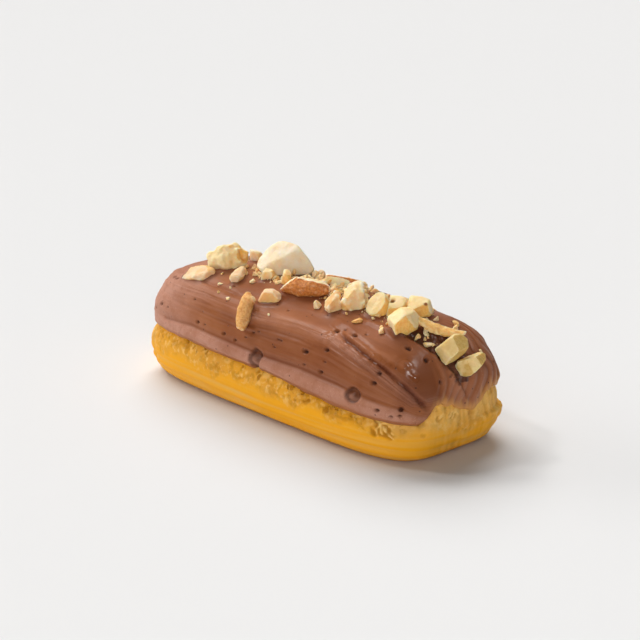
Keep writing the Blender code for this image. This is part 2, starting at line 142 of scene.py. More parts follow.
def rough_noise(points: Array, scale: float, octaves: int, seed: int) -> Array:
    """Lattice noise summed over several scales, each half the last.

    Args:
        points: Points, in the last axis.
        scale: The largest cell.
        octaves: The number of scales.
        seed: Picks the pattern.

    Returns:
        Noise of about -1 to 1 at each point.
    """
    total = np.zeros(points.shape[:-1])
    for octave in range(octaves):
        total += grain_noise(points, scale / 2**octave, seed + octave) / 2**octave
    return total / ROUGH_SPAN


def slow_lumps(points: Array, scale: float, seed: int) -> Array:
    """The noise that the solids' own relief has.

    Args:
        points: Points, in the last axis.
        scale: The size of one lump.
        seed: Picks the pattern.

    Returns:
        Noise of about -1 to 1 at each point.
    """
    shift = Vector((seed * 7.31, seed * 3.17, seed * 1.73))
    flat = points.reshape(-1, 3) / scale
    values = [noise.noise(Vector(point) + shift) for point in flat]
    return np.array(values).reshape(points.shape[:-1])


def streak_track(first: Array, second: Array) -> Array:
    """Places whose noise runs in streaks: two stretched distances and a flat third."""
    return np.stack([first, second, second * 0], axis=-1)


class Pattern(Enum):
    """The fixed patterns of noise: the size of a cell, the seed, and the number of scales."""

    EDGE_WAVE = (5 * MM, 21)
    EDGE_RAGS = (2.6 * MM, 22, 2)
    STREAK_PATCHES = (14 * MM, 31)
    BROAD_STREAKS = (1.5, 41)
    NARROW_STREAKS = (0.7, 42)
    COMB_SLANT = (10 * MM, 43)
    COMB_DEPTH = (1.0, 44)
    COMB_LINES = (7 * MM, 45)
    SHEEN_PATCHES = (11 * MM, 71)
    THIN_EDGE = (1.0, 75)
    MESS = (1.3 * MM, 97, 2)
    RIPPLES = (1.5 * MM, 98, 2)
    RIDGE_BREAKS = (4 * MM, 99)
    CRAG_START = (9 * MM, 81)
    NOZZLE_LINES = (1.0, 82)
    CRUMBLE = (3.2 * MM, 83, 3)
    PITS = (2.4 * MM, 84)
    DEEP_PITS = (3.4 * MM, 85, 2)
    WRINKLES = (5.5 * MM, 86, 2)
    GROOVE_BREAKS = (1.0, 87)
    PALE_PATCHES = (2.6 * MM, 88, 2)
    FIBRES = (1.0, 89)
    TEAR_WOBBLE = (1.8 * MM, 90)
    STRAND_BREAKS = (1.6 * MM, 92)
    CRUMB_PATCHES = (6 * MM, 95)

    def at(self, points: Array) -> Array:
        """The pattern at each point, about -1 to 1."""
        cell, seed, *scales = self.value
        if scales:
            return rough_noise(points, cell, *scales, seed)
        return grain_noise(points, cell, seed)


def around(knots: Knots, angle: Array) -> Array:
    """A value that runs smoothly round the plan.

    Args:
        knots: Rows of (degrees round the plan, value).
        angle: Plan angles, in radians.

    Returns:
        The value at each angle.
    """
    rows = sorted((degrees % 360, value) for degrees, value in knots)
    before = [(degrees - 360, value) for degrees, value in rows[-2:]]
    after = [(degrees + 360, value) for degrees, value in rows[:2]]
    at, value = np.array(before + rows + after).T
    slope = np.gradient(value, at)
    here = np.degrees(angle) % 360
    i = np.searchsorted(at, here, side="right") - 1
    step = at[i + 1] - at[i]
    t = (here - at[i]) / step
    return (
        (1 + 2 * t) * (1 - t) ** 2 * value[i]
        + t * (1 - t) ** 2 * step * slope[i]
        + t * t * (3 - 2 * t) * value[i + 1]
        + t * t * (t - 1) * step * slope[i + 1]
    )


def signed_degrees(angle: Array) -> Array:
    """Plan angles in degrees, from -180 to 180."""
    return (np.degrees(angle) + 180) % 360 - 180


@dataclass
class EclairForm:
    """The outside of the body without its nuts: a superellipse in plan and in its side."""

    length: float
    width: float
    height: float
    widest_level: float = 9.9 * MM
    undercut: float = 13.9 * MM
    plan_power: float = 4.64
    side_power: float = 2.79
    table_size: int = 3000
    outline_steps: int = 14401
    turns: Array = field(init=False)
    climbs: Array = field(init=False)

    def __post_init__(self) -> None:
        """Work out the distance up the side for a table of turns."""
        self.turns = np.linspace(0, math.pi / 2, self.table_size)
        self.climbs = self.run_along(self.point(np.array(-math.pi / 2), self.turns, 0.0))

    @property
    def spine(self) -> float:
        """Half the length of the straight line that the body is drawn round."""
        return (self.length - self.width) / 2

    @staticmethod
    def run_along(points: Array) -> Array:
        """The distance run at each point of a line."""
        steps = lengths(np.diff(points, axis=0))
        return np.concatenate([[0.0], np.cumsum(steps)])

    def reach(self, angle: Array) -> Array:
        """How far the plan's unit outline lies from its middle at each angle."""
        c, s = np.abs(np.cos(angle)), np.abs(np.sin(angle))
        return (c**self.plan_power + s**self.plan_power) ** (-1 / self.plan_power)

    def ring_point(self, angle: Array, side: Array, level: Array) -> Array:
        """A point at a distance out from the spine and at a level.

        Args:
            angle: Plan angles.
            side: Distances out from the spine.
            level: Heights over the ground.

        Returns:
            The points, with x, y and z in the last axis.
        """
        reach = self.reach(angle)
        x = (self.spine + side) * reach * np.cos(angle)
        y = side * reach * np.sin(angle)
        return np.stack(np.broadcast_arrays(x, y, level), axis=-1)

    def point(self, angle: Array, turn: Array, out: Array | float) -> Array:
        """A point of the body's side.

        Args:
            angle: Plan angles.
            turn: Turns up the side: 0 at the widest level, a quarter circle at the top.
            out: How far the point stands proud of the side.

        Returns:
            The points, with x, y and z in the last axis.
        """
        height = np.abs(np.sin(turn)) ** (2 / self.side_power)
        lean = np.clip(np.cos(turn), 0, 1) ** (2 / self.side_power)
        rise = self.height - self.widest_level
        level = np.where(turn >= 0, height * (rise + out), -height * self.undercut)
        return self.ring_point(angle, lean * (self.width / 2 + out), self.widest_level + level)

    def spot(self, degrees: float, height: float) -> Array:
        """A point of the side, from degrees round the plan and a height in mm."""
        return self.point(np.radians(degrees), self.turn_at(np.array(height * MM)), 0.0)

    def turn_at(self, level: Array) -> Array:
        """The turn at which the side reaches a level."""
        rise = self.height - self.widest_level
        above = np.clip((level - self.widest_level) / rise, 0, 1)
        below = np.clip((self.widest_level - level) / self.undercut, 0, 1)
        half = self.side_power / 2
        return np.arcsin(above**half) - np.arcsin(below**half)

    def climb_at(self, turn: Array) -> Array:
        """The distance up the side from the widest level."""
        return np.interp(turn, self.turns, self.climbs)

    def turn_after(self, climb: Array) -> Array:
        """The turn that a distance up the side leads to."""
        return np.interp(climb, self.climbs, self.turns)

    def columns(self, count: int) -> tuple[Array, Array]:
        """Plan angles that stand evenly along the outline.

        Args:
            count: The number of columns.

        Returns:
            The angles from the nose round to the nose, and the distance run to each.
        """
        fine = np.linspace(0, 2 * math.pi, self.outline_steps)
        run = self.run_along(self.point(fine, np.array(0.0), 0.0))
        along = np.arange(count) * run[-1] / count
        return np.interp(along, run, fine), along


class RingMesh:
    """A closed mesh of rings, whose first and last ring fold flat on the spine."""

    def __init__(self, name: str, rings: Array) -> None:
        """Make the object.

        Args:
            name: The piece's name.
            rings: Points as (ring, column, xyz).
        """
        ring_count, columns = rings.shape[:2]
        index = np.arange(ring_count * columns).reshape(ring_count, columns)
        folded = (columns - np.arange(columns)) % columns
        for end in (0, -1):
            index[end] = np.where(folded < np.arange(columns), index[end][folded], index[end])
        lower, upper = index[:-1], index[1:]
        faces = np.stack([lower, np.roll(lower, -1, 1), np.roll(upper, -1, 1), upper], axis=-1)
        self.kept, faces = np.unique(faces, return_inverse=True)
        mesh = bpy.data.meshes.new(name)
        points = rings.reshape(-1, 3)[self.kept]
        mesh.from_pydata(points.tolist(), [], faces.reshape(-1, 4).tolist())
        mesh.shade_smooth()
        self.object = new_object(name, mesh)

    def pick(self, values: Array) -> Array:
        """The values of the kept vertices, from values for each ring and column."""
        return values.reshape(-1, *values.shape[2:])[self.kept]

    def displace(self, amount: Array) -> None:
        """Move each vertex along its normal, by a distance for each ring and column."""
        mesh = self.object.data
        write_points(mesh, read_points(mesh) + read_normals(mesh) * self.pick(amount)[:, None])

    def paint(self, name: str, values: Array) -> None:
        """Keep a number or a vector at each vertex for the finish to read."""
        add_layer(self.object.data, name, self.pick(values))


def read_values(items: bpy.types.bpy_prop_collection, name: str, kind: type = np.float32) -> Array:
    """A property of many parts of a mesh, with a row for each part."""
    first = getattr(items[0], name)
    width = len(first) if hasattr(first, "__len__") else 1
    flat = np.empty(len(items) * width, kind)
    items.foreach_get(name, flat)
    return flat.reshape(-1, width)


def read_points(mesh: Mesh) -> Array:
    """The places of a mesh's vertices."""
    return read_values(mesh.vertices, "co").astype(float)


def read_normals(mesh: Mesh) -> Array:
    """The normals of a mesh's vertices."""
    return read_values(mesh.vertex_normals, "vector").astype(float)


def write_points(mesh: Mesh, points: Array) -> None:
    """Put a mesh's vertices in new places."""
    mesh.vertices.foreach_set("co", points.astype(np.float32).ravel())
    mesh.update()


def add_layer(mesh: Mesh, name: str, values: Array) -> None:
    """Give a mesh's vertices an attribute of numbers or of vectors."""
    vector = values.ndim == 2
    layer = mesh.attributes.new(name, "FLOAT_VECTOR" if vector else "FLOAT", "POINT")
    layer.data.foreach_set("vector" if vector else "value", values.astype(np.float32).ravel())


def new_object(name: str, data: bpy.types.ID) -> Object:
    """A new object in the scene."""
    piece = bpy.data.objects.new(name, data)
    bpy.context.scene.collection.objects.link(piece)
    return piece


def bake_modifiers(piece: Object) -> None:
    """Turn what a piece's modifiers make into its own plain mesh."""
    graph = bpy.context.evaluated_depsgraph_get()
    piece.data = bpy.data.meshes.new_from_object(piece.evaluated_get(graph))
    piece.modifiers.clear()


class TreeBuilder:
    """Adds nodes to a shader or geometry tree and joins their sockets."""

    def __init__(self, tree: bpy.types.NodeTree) -> None:
        """Keep the tree that the nodes go to."""
        self.tree = tree

    def add(self, kind: str, inputs: dict | None = None, **settings: object) -> Node:
        """Add a node.

        Args:
            kind: The node's type.
            inputs: Values, or sockets to join, for each input's name or number.
            settings: Properties that are set before the inputs.

        Returns:
            The node.
        """
        node = self.tree.nodes.new(kind)
        for name, value in settings.items():
            setattr(node, name, value)
        for name, value in (inputs or {}).items():
            named = (item for item in node.inputs if item.name == name and item.enabled)
            socket = node.inputs[name] if isinstance(name, int) else next(named)
            if isinstance(value, Socket):
                self.tree.links.new(value, socket)
            else:
                socket.default_value = value
        return node

    @staticmethod
    def out(node: Node, name: str) -> Socket:
        """The output in use that has a name."""
        return next(item for item in node.outputs if item.name == name and item.enabled)

    def times(self, first: Socket, second: Socket) -> Socket:
        """The product of two values."""
        return self.add("ShaderNodeMath", {0: first, 1: second}, operation="MULTIPLY").outputs[0]


class FinishTree(TreeBuilder):
    """The node tree of a Principled material."""

    def __init__(self, name: str, uniform: dict) -> None:
        """Make the material.

        Args:
            name: The material's name.
            uniform: Values that are the same all over the surface, by socket name.
        """
        self.material = bpy.data.materials.new(name)
        self.material.use_nodes = True
        super().__init__(self.material.node_tree)
        self.shader = self.tree.nodes["Principled BSDF"]
        for socket, value in uniform.items():
            self.shader.inputs[socket].default_value = value
        self.place = self.add("ShaderNodeTexCoord").outputs["Object"]

    def layer(self, name: str, vector: bool = False) -> Socket:
        """An attribute of the mesh, as a number or a vector."""
        node = self.add("ShaderNodeAttribute", attribute_name=name)
        return node.outputs["Vector" if vector else "Fac"]

    def noise(
        self, scale: float, detail: float, stretch: Place = (1, 1, 1), place: Socket | None = None
    ) -> Socket:
        """Noise of 0 to 1.

        Args:
            scale: Cells for each unit of the place.
            detail: The number of finer scales.
            stretch: Scales of the place along its three axes.
            place: Where the noise is read, if not the object's own coordinates.

        Returns:
            The noise.
        """
        mapped = self.add("ShaderNodeMapping", {"Vector": place or self.place, "Scale": stretch})
        inputs = {"Vector": mapped.outputs["Vector"], "Scale": scale, "Detail": detail}
        return self.add("ShaderNodeTexNoise", inputs).outputs["Fac"]

    def pits(self, scale: float, radius: float) -> Socket:
        """Sparse round spots, 1 in their middles and 0 past a radius in shares of a cell."""
        cells = self.add("ShaderNodeTexVoronoi", {"Vector": self.place, "Scale": scale})
        return self.fit(cells.outputs["Distance"], radius, radius * 0.4, 0.0, 1.0)

    def fit(
        self, value: Socket, low: float, high: float, to_low: float = 0.0, to_high: float = 1.0
    ) -> Socket:
        """A value's range moved to another, and clipped there.

        Args:
            value: The value.
            low: What becomes to_low.
            high: What becomes to_high.
            to_low: The new range's start.
            to_high: The new range's end.

        Returns:
            The new value.
        """
        ends = {"Value": value, "From Min": low, "From Max": high}
        ends |= {"To Min": to_low, "To Max": to_high}
        return self.add("ShaderNodeMapRange", ends).outputs["Result"]

    def patches(self, row: Row) -> Socket:
        """Noise cut to patches: a row of its scale, its detail and what fit takes."""
        scale, detail, *ends = row
        return self.fit(self.noise(scale, detail), *ends)

    def part(self, value: Socket, most: float) -> Socket:
        """A value of 0 to 1, weakened to a highest value."""
        return self.fit(value, 0.0, 1.0, 0.0, most)

    def reverse(self, value: Socket) -> Socket:
        """1 where a value is 0, and 0 where it is 1."""
        return self.fit(value, 0.0, 1.0, 1.0, 0.0)

    def coats(self, tone: Socket, coats: tuple[tuple[Socket, Colour], ...]) -> Socket:
        """A colour with others laid over it in turn, each by its own share."""
        for share, colour in coats:
            tone = self.mix(share, tone, colour)
        return tone

    def sum(self, first: Socket, second: Socket, share: float) -> Socket:
        """The first value and a share of the second."""
        terms = {0: second, 1: share, 2: first}
        return self.add("ShaderNodeMath", terms, operation="MULTIPLY_ADD").outputs[0]

    def mix(self, share: Socket, first: Socket | Colour, second: Socket | Colour) -> Socket:
        """A colour between two.

        Args:
            share: 0 for the first colour and 1 for the second.
            first: A colour, or a socket that gives one.
            second: A colour, or a socket that gives one.

        Returns:
            The mixed colour.
        """
        ends = {
            name: end if isinstance(end, Socket) else (*end, 1.0)
            for name, end in (("A", first), ("B", second))
        }
        node = self.add("ShaderNodeMix", {"Factor": share} | ends, data_type="RGBA")
        return self.out(node, "Result")

    def finish(
        self, colour: Socket, roughness: Socket, bumps: tuple[tuple[Socket, float], ...]
    ) -> Material:
        """Join the shader's own inputs.

        Args:
            colour: The base colour.
            roughness: The roughness.
            bumps: Rows of (height of 0 to 1, the real height of 1).

        Returns:
            The material.
        """
        self.tree.links.new(colour, self.shader.inputs["Base Color"])
        self.tree.links.new(roughness, self.shader.inputs["Roughness"])
        inputs = {"Strength": 1.0}
        for height, distance in bumps:
            inputs |= {"Height": height, "Distance": distance}
            inputs["Normal"] = self.add("ShaderNodeBump", inputs).outputs["Normal"]
        if bumps:
            self.tree.links.new(inputs["Normal"], self.shader.inputs["Normal"])
        return self.material


def soft_body(specular: float, weight: float, radius: Place) -> dict[str, object]:
    """The even values of a shader into which some light sinks."""
    uniform = {"Specular IOR Level": specular, "Subsurface Weight": weight}
    return uniform | {"Subsurface Scale": 1.0, "Subsurface Radius": radius}


@dataclass(frozen=True)
class IcingFinish:
    """Milk chocolate icing: brown, pinker and duller under painted sheen, with painted shade in its
    holes.
    """

    brown: Colour = (0.352, 0.119, 0.041)
    deep: Colour = (0.27, 0.078, 0.020)
    # The colour of the painted sheen: a pinkish reflection put into the base colour.
    dull: Colour = (0.505, 0.245, 0.168)
    # Painted shade in creases, streak furrows and comb grooves, and on the top and middle band.
    crease: Colour = (0.15, 0.038, 0.016)
    # Painted shade in burst bubbles and pin holes and round the nuts; in the smeared patch, the
    # smear's own dark colour and painted shade.
    hole: Colour = (0.04, 0.011, 0.007)
    thin: Colour = (0.60, 0.27, 0.07)
    speck: Colour = (0.62, 0.38, 0.28)
    specular: float = 0.25
    cloud: Span = (110.0, 3.0)
    streak_stretch: Place = (1.0, 0.05, 1.0)
    streak_ends: Row = (0.42, 0.75)
    furrow_ends: Row = (0.30, 0.46, 0.5, 0.0)
    sheen_patches: Row = (420.0, 3.0, 0.25, 0.55, 0.55, 1.0)
    speckles: Row = (2600.0, 2.0, 0.60, 0.72)
    grit: Row = (1500.0, 2.0, 0.62, 0.74)
    pin_holes: Span = (330.0, 0.10)
    roughness: Row = (0.2, 1.2, 0.36, 0.52)
    wet_roughness: float = 0.3
    streak_height: float = 0.12 * MM
    grain_height: float = 0.03 * MM
    pin_depth: float = 0.1 * MM

    def material(self) -> Material:
        """The icing's material."""
        tree = FinishTree("milk_chocolate_icing", {"Specular IOR Level": self.specular})
        spread = tree.layer("spread", vector=True)
        fine_streaks = tree.noise(1.0, 3.0, self.streak_stretch, spread)
        streaky, sheen_and_dullness = tree.layer("streaky"), tree.layer("sheen_and_dullness")
        streaks = tree.times(tree.fit(fine_streaks, *self.streak_ends), streaky)
        furrows = tree.times(tree.fit(fine_streaks, *self.furrow_ends), streaky)
        cloud = tree.noise(*self.cloud)
        pin_holes = tree.pits(*self.pin_holes)
        # Pink streaks, sheen patches and specks are painted sheen; furrows, creases, holes and pin
        # holes are painted shade.
        coats = (
            (tree.part(streaks, 0.5), self.dull),
            (furrows, self.crease),
            (tree.times(sheen_and_dullness, tree.patches(self.sheen_patches)), self.dull),
            (tree.part(tree.times(tree.patches(self.speckles), sheen_and_dullness), 0.5), self.speck),
            (tree.part(tree.times(tree.patches(self.grit), sheen_and_dullness), 0.35), self.deep),
            (tree.layer("thin"), self.thin),
            (tree.layer("crease"), self.crease),
            (tree.layer("hole"), self.hole),
            (tree.part(pin_holes, 0.8), self.hole),
        )
        tone = tree.coats(tree.mix(tree.fit(cloud, 0.3, 0.7), self.brown, self.deep), coats)
        wet = tree.fit(tree.layer("wet"), 0.0, 1.0, 1.0, self.wet_roughness)
        roughness = tree.times(tree.fit(tree.sum(sheen_and_dullness, cloud, 0.6), *self.roughness), wet)
        bumps = (
            (streaks, self.streak_height),
            (tree.noise(900.0, 3.0), self.grain_height),
            (tree.reverse(pin_holes), self.pin_depth),
        )
        return tree.finish(tone, roughness, bumps)


@dataclass(frozen=True)
class ChouxFinish:
    """Baked choux: golden, striped by the nozzle, tan and pitted under the icing; pits take painted
    shade.
    """

    gold: Colour = (0.89, 0.40, 0.012)
    stripe: Colour = (0.82, 0.45, 0.10)
    crag: Colour = (0.73, 0.34, 0.044)
    # Painted shade in pits, holes and the hollows of tears, and under the icing's lip.
    shaded_pit: Colour = (0.42, 0.16, 0.004)
    # Darker at the very bottom, and painted shade along the fold.
    baked: Colour = (0.52, 0.17, 0.006)
    # Pale strands and patches, and the painted light at both ends.
    torn: Colour = (0.92, 0.59, 0.19)
    mottle: Colour = (0.46, 0.20, 0.006)
    specular: float = 0.12
    softness: float = 0.12
    glow: Place = (2.0 * MM, 1.0 * MM, 0.3 * MM)
    flecks: Row = (720.0, 4.0, 0.52, 0.68, 0.0, 0.65)
    mottles: Row = (400.0, 4.0, 0.52, 0.64, 0.0, 0.5)
    holes: Row = (330.0, 3.0, 0.60, 0.68, 0.0, 0.85)
    roughness: Row = (0.3, 0.7, 0.5, 0.68)
    crust_height: float = 0.16 * MM
    grain_height: float = 0.03 * MM
    hole_depth: float = 0.5 * MM

    def material(self) -> Material:
        """The choux's material."""
        tree = FinishTree("baked_choux", soft_body(self.specular, self.softness, self.glow))
        cloud = tree.noise(90.0, 4.0)
        crag = tree.layer("crag")
        # Painted shade in the holes under the icing.
        hollows = tree.times(tree.layer("upper"), tree.patches(self.holes))
        coats = (
            (tree.times(crag, tree.fit(cloud, 0.2, 0.6)), self.crag),
            (tree.times(crag, tree.patches(self.flecks)), self.torn),
            (tree.times(crag, tree.patches(self.mottles)), self.mottle),
            (hollows, self.shaded_pit),
            (tree.layer("torn"), self.torn),
            (tree.layer("shaded_pit"), self.shaded_pit),
            (tree.layer("baked"), self.baked),
        )
        tone = tree.coats(tree.mix(tree.layer("stripe"), self.gold, self.stripe), coats)
        bumps = (
            (tree.noise(700.0, 4.0), self.crust_height),
            (tree.noise(2400.0, 2.0), self.grain_height),
            (tree.reverse(hollows), self.hole_depth),
        )
        return tree.finish(tone, tree.fit(cloud, *self.roughness), bumps)


@dataclass(frozen=True)
class NutFinish:
    """Chopped nut: its broken flesh, and the skin side that it grew with, on some pieces painted
    shade.
    """

    name: str
    flesh: Colour
    shade: Colour
    # The skin's colour; on pieces whose skin side turns from the lights it is painted shade.
    skin: Colour
    skin_shade: Colour
    # Pale sharp edges: wear, and a painted edge highlight.
    worn: Colour = (0.97, 0.89, 0.68)
    # Painted shade in a spot's hollow.
    hollow_shade: Colour = (0.30, 0.11, 0.02)
    glow: float = 1.9 * MM
    specular: float = 0.3
    softness: float = 0.7
    patches: Row = (900.0, 4.0, 0.55, 0.7, 0.0, 0.55)
    roughness: Row = (0.3, 0.7, 0.42, 0.6)
    fine_height: float = 0.11 * MM
    grain_height: float = 0.22 * MM
    cloud_height: float = 0.15 * MM

    def material(self) -> Material:
        """The nut's material."""
        radius = (self.glow, 0.74 * self.glow, 0.44 * self.glow)
        tree = FinishTree(self.name, soft_body(self.specular, self.softness, radius))
        cloud = tree.noise(260.0, 3.0)
        fine = tree.noise(1800.0, 3.0)
        flesh = tree.mix(tree.fit(cloud, 0.42, 0.68), self.flesh, self.shade)
        flesh = tree.mix(tree.patches(self.patches), flesh, self.shade)
        skin = tree.mix(tree.fit(fine, 0.35, 0.65), self.skin, self.skin_shade)
        coats = (
            (tree.fit(tree.layer("tint"), 0.62, 1.0), self.skin),
            (tree.layer("worn"), self.worn),
            (tree.layer("hollow_shade"), self.hollow_shade),
        )
        tone = tree.coats(tree.mix(tree.layer("skin"), flesh, skin), coats)
        grain = tree.noise(700.0, 3.0)
        bumps = ((fine, self.fine_height), (grain, self.grain_height), (cloud, self.cloud_height))
        return tree.finish(tone, tree.fit(cloud, *self.roughness), bumps)


class NutTone(Enum):
    """How a piece of nut is coloured."""

    CREAM = NutFinish(
        "cream_nut", (0.91, 0.79, 0.62), (0.92, 0.72, 0.46), (0.90, 0.60, 0.27), (0.94, 0.68, 0.36),
        (0.97, 0.88, 0.70)
    )
    PALE = NutFinish(
        "pale_nut", (0.87, 0.63, 0.40), (0.84, 0.53, 0.27), (0.84, 0.47, 0.16), (0.84, 0.52, 0.21),
        (0.95, 0.80, 0.57)
    )
    YELLOW = NutFinish(
        "yellow_nut", (0.93, 0.73, 0.42), (0.92, 0.67, 0.30), (0.91, 0.58, 0.18), (0.87, 0.47, 0.11),
        (0.97, 0.84, 0.56)
    )
    DULL = NutFinish(
        "dull_nut", (0.84, 0.65, 0.32), (0.74, 0.52, 0.20), (0.72, 0.50, 0.17), (0.64, 0.40, 0.1),
        (0.94, 0.80, 0.54)
    )
    GOLDEN = NutFinish(
        "golden_nut", (0.92, 0.68, 0.38), (0.90, 0.57, 0.23), (0.84, 0.46, 0.13), (0.90, 0.57, 0.22)
    )
    CRUMB = NutFinish(
        "nut_crumb", (0.95, 0.76, 0.48), (0.92, 0.62, 0.30), (0.82, 0.46, 0.16), (0.90, 0.58, 0.24),
        glow=0.6 * MM
    )
    TOASTED = NutFinish(
        "toasted_nut", (0.84, 0.55, 0.27), (0.74, 0.40, 0.14), (0.68, 0.32, 0.09), (0.82, 0.48, 0.18)
    )
    ALMOND = NutFinish(
        "skinned_almond", (0.97, 0.85, 0.60), (0.93, 0.70, 0.40), (0.66, 0.26, 0.065),
        (0.44, 0.14, 0.03)
    )


@dataclass(frozen=True)
class Stroke:
    """A ridge (height over 0), a crease (height under 0) or a step left by the spatula.

    Sizes are in mm, and the route is a row of (degrees round the plan, height in mm).
    A crease has a thin ridge beside it, and shade is how much painted shade lies along it.
    """

    height: float
    half_width: float
    step: float
    route: Knots
    ridge: float = 0.12
    shade: float = 0.4


STROKES = (
    Stroke(-0.7, 1.1, 0.0, (
        (-172, 18.4), (-150, 19.2), (-128, 19.8), (-117, 21.0), (-102, 20.3), (-86, 19.9),
        (-71, 20.2), (-59, 19.4), (-49, 17.8), (-40, 16.8), (-28, 13.9))),
    Stroke(0.7, 2.4, 0.0, (
        (-172, 16.6), (-117, 18.4), (-86, 17.6), (-60, 16.4), (-46, 15.2), (-34, 13.7))),
    Stroke(0.8, 3.0, 0.0, (
        (-160, 28.0), (-130, 29.0), (-117, 29.6), (-91, 28.6), (-75, 29.6), (-63, 29.0),
        (-50, 25.8), (-42, 21.6), (-36, 18.4))),
    Stroke(-0.5, 0.5, 0.7, (
        (-61, 30.4), (-57, 29.4), (-52, 27.9), (-45, 25.4), (-38, 22.0), (-32, 18.3),
        (-26, 15.4)), 0.55, 0.95),
    Stroke(-0.25, 0.45, 0.1, (
        (-64, 28.0), (-58, 27.0), (-51, 24.8), (-44, 21.6), (-36, 17.6)), 0.1, 0.22),
    Stroke(-0.2, 0.4, 0.05, (
        (-57, 28.4), (-51, 26.3), (-44, 23.2), (-38, 20.2), (-32, 17.2)), 0.1, 0.2),
    Stroke(-0.2, 0.4, 0.08, (
        (-58, 31.2), (-51, 29.6), (-44, 26.6), (-37, 23.0), (-31, 19.6)), 0.12, 0.16),
    Stroke(-0.4, 0.9, 0.15, (
        (-156, 30.2), (-138, 31.0), (-120, 31.4), (-104, 31.0)), 0.1, 0.12),
    Stroke(-0.3, 0.6, 0.1, (
        (-142, 25.0), (-126, 25.4), (-108, 24.8), (-92, 24.6), (-78, 24.8)), 0.1, 0.12),
    Stroke(-0.4, 0.9, 0.15, (
        (-112, 26.6), (-96, 26.2), (-82, 26.8), (-70, 27.0)), 0.1, 0.12),
    Stroke(0.55, 1.3, -0.8, (
        (-52, 33.3), (-39, 32.3), (-32, 31.4), (-24, 29.6), (-15, 26.2), (-7, 23.0),
        (-1, 19.0))),
    Stroke(-0.65, 1.2, 0.0, (
        (34, 17.4), (52, 19.0), (82, 20.6), (108, 19.3), (140, 20.1), (174, 18.4))),
    Stroke(0.65, 2.4, 0.0, (
        (38, 17.0), (62, 16.8), (86, 18.2), (112, 17.0), (142, 18.0), (174, 16.8))),
    Stroke(0.8, 3.0, 0.0, (
        (46, 26.0), (60, 28.8), (92, 29.6), (122, 28.4), (150, 28.8))),
    Stroke(-0.7, 1.0, 0.5, (
        (108, 31.4), (122, 30.4), (134, 27.4), (142, 23.6), (150, 20.4))),
)


@dataclass(frozen=True)
class Dimple:
    """A burst bubble in the icing, at (x, y, z) and with its sizes in mm.

    A dimple's floor swells up again to bump, and square says how boxy its outline is.
    """

    place: Place
    radius: float
    depth: float
    bump: float = 0.0
    square: bool = False


SEEN_DIMPLES = (
    Dimple((1.5, -23.4, 18.5), 2.5, 0.8, 0.45, True),
    Dimple((39.3, -22.6, 17.7), 2.25, 0.9, 0.7),
    *(
        Dimple(place, radius, 0.75)
        for radius, place in (
            (0.75, (-45.6, -20.1, 22.7)), (0.6, (-42.6, -15.9, 29.5)),
            (0.55, (-25.8, -22.4, 22.3)), (0.55, (-13.7, -22.7, 21.7)),
            (0.5, (-8.2, -22.8, 21.2)), (0.6, (26.8, -16.5, 30.4)),
            (0.55, (33.4, -16.0, 30.5)), (0.6, (27.3, -20.3, 26.5)),
            (0.65, (26.9, -22.7, 21.0)), (0.75, (48.4, -11.4, 30.5)),
            (0.8, (52.8, -9.3, 27.8)), (0.65, (46.2, -19.0, 24.6)),
            (0.75, (45.1, -20.4, 22.2)), (0.7, (56.1, -7.4, 22.2)),
            (0.65, (47.4, -21.1, 15.5)), (0.7, (52.9, -18.3, 16.4)),
            (0.5, (50.8, -19.8, 14.5)), (0.5, (52.8, -18.6, 14.8)),
            (0.8, (19.7, -21.6, 24.5)),
        )
    ),
)


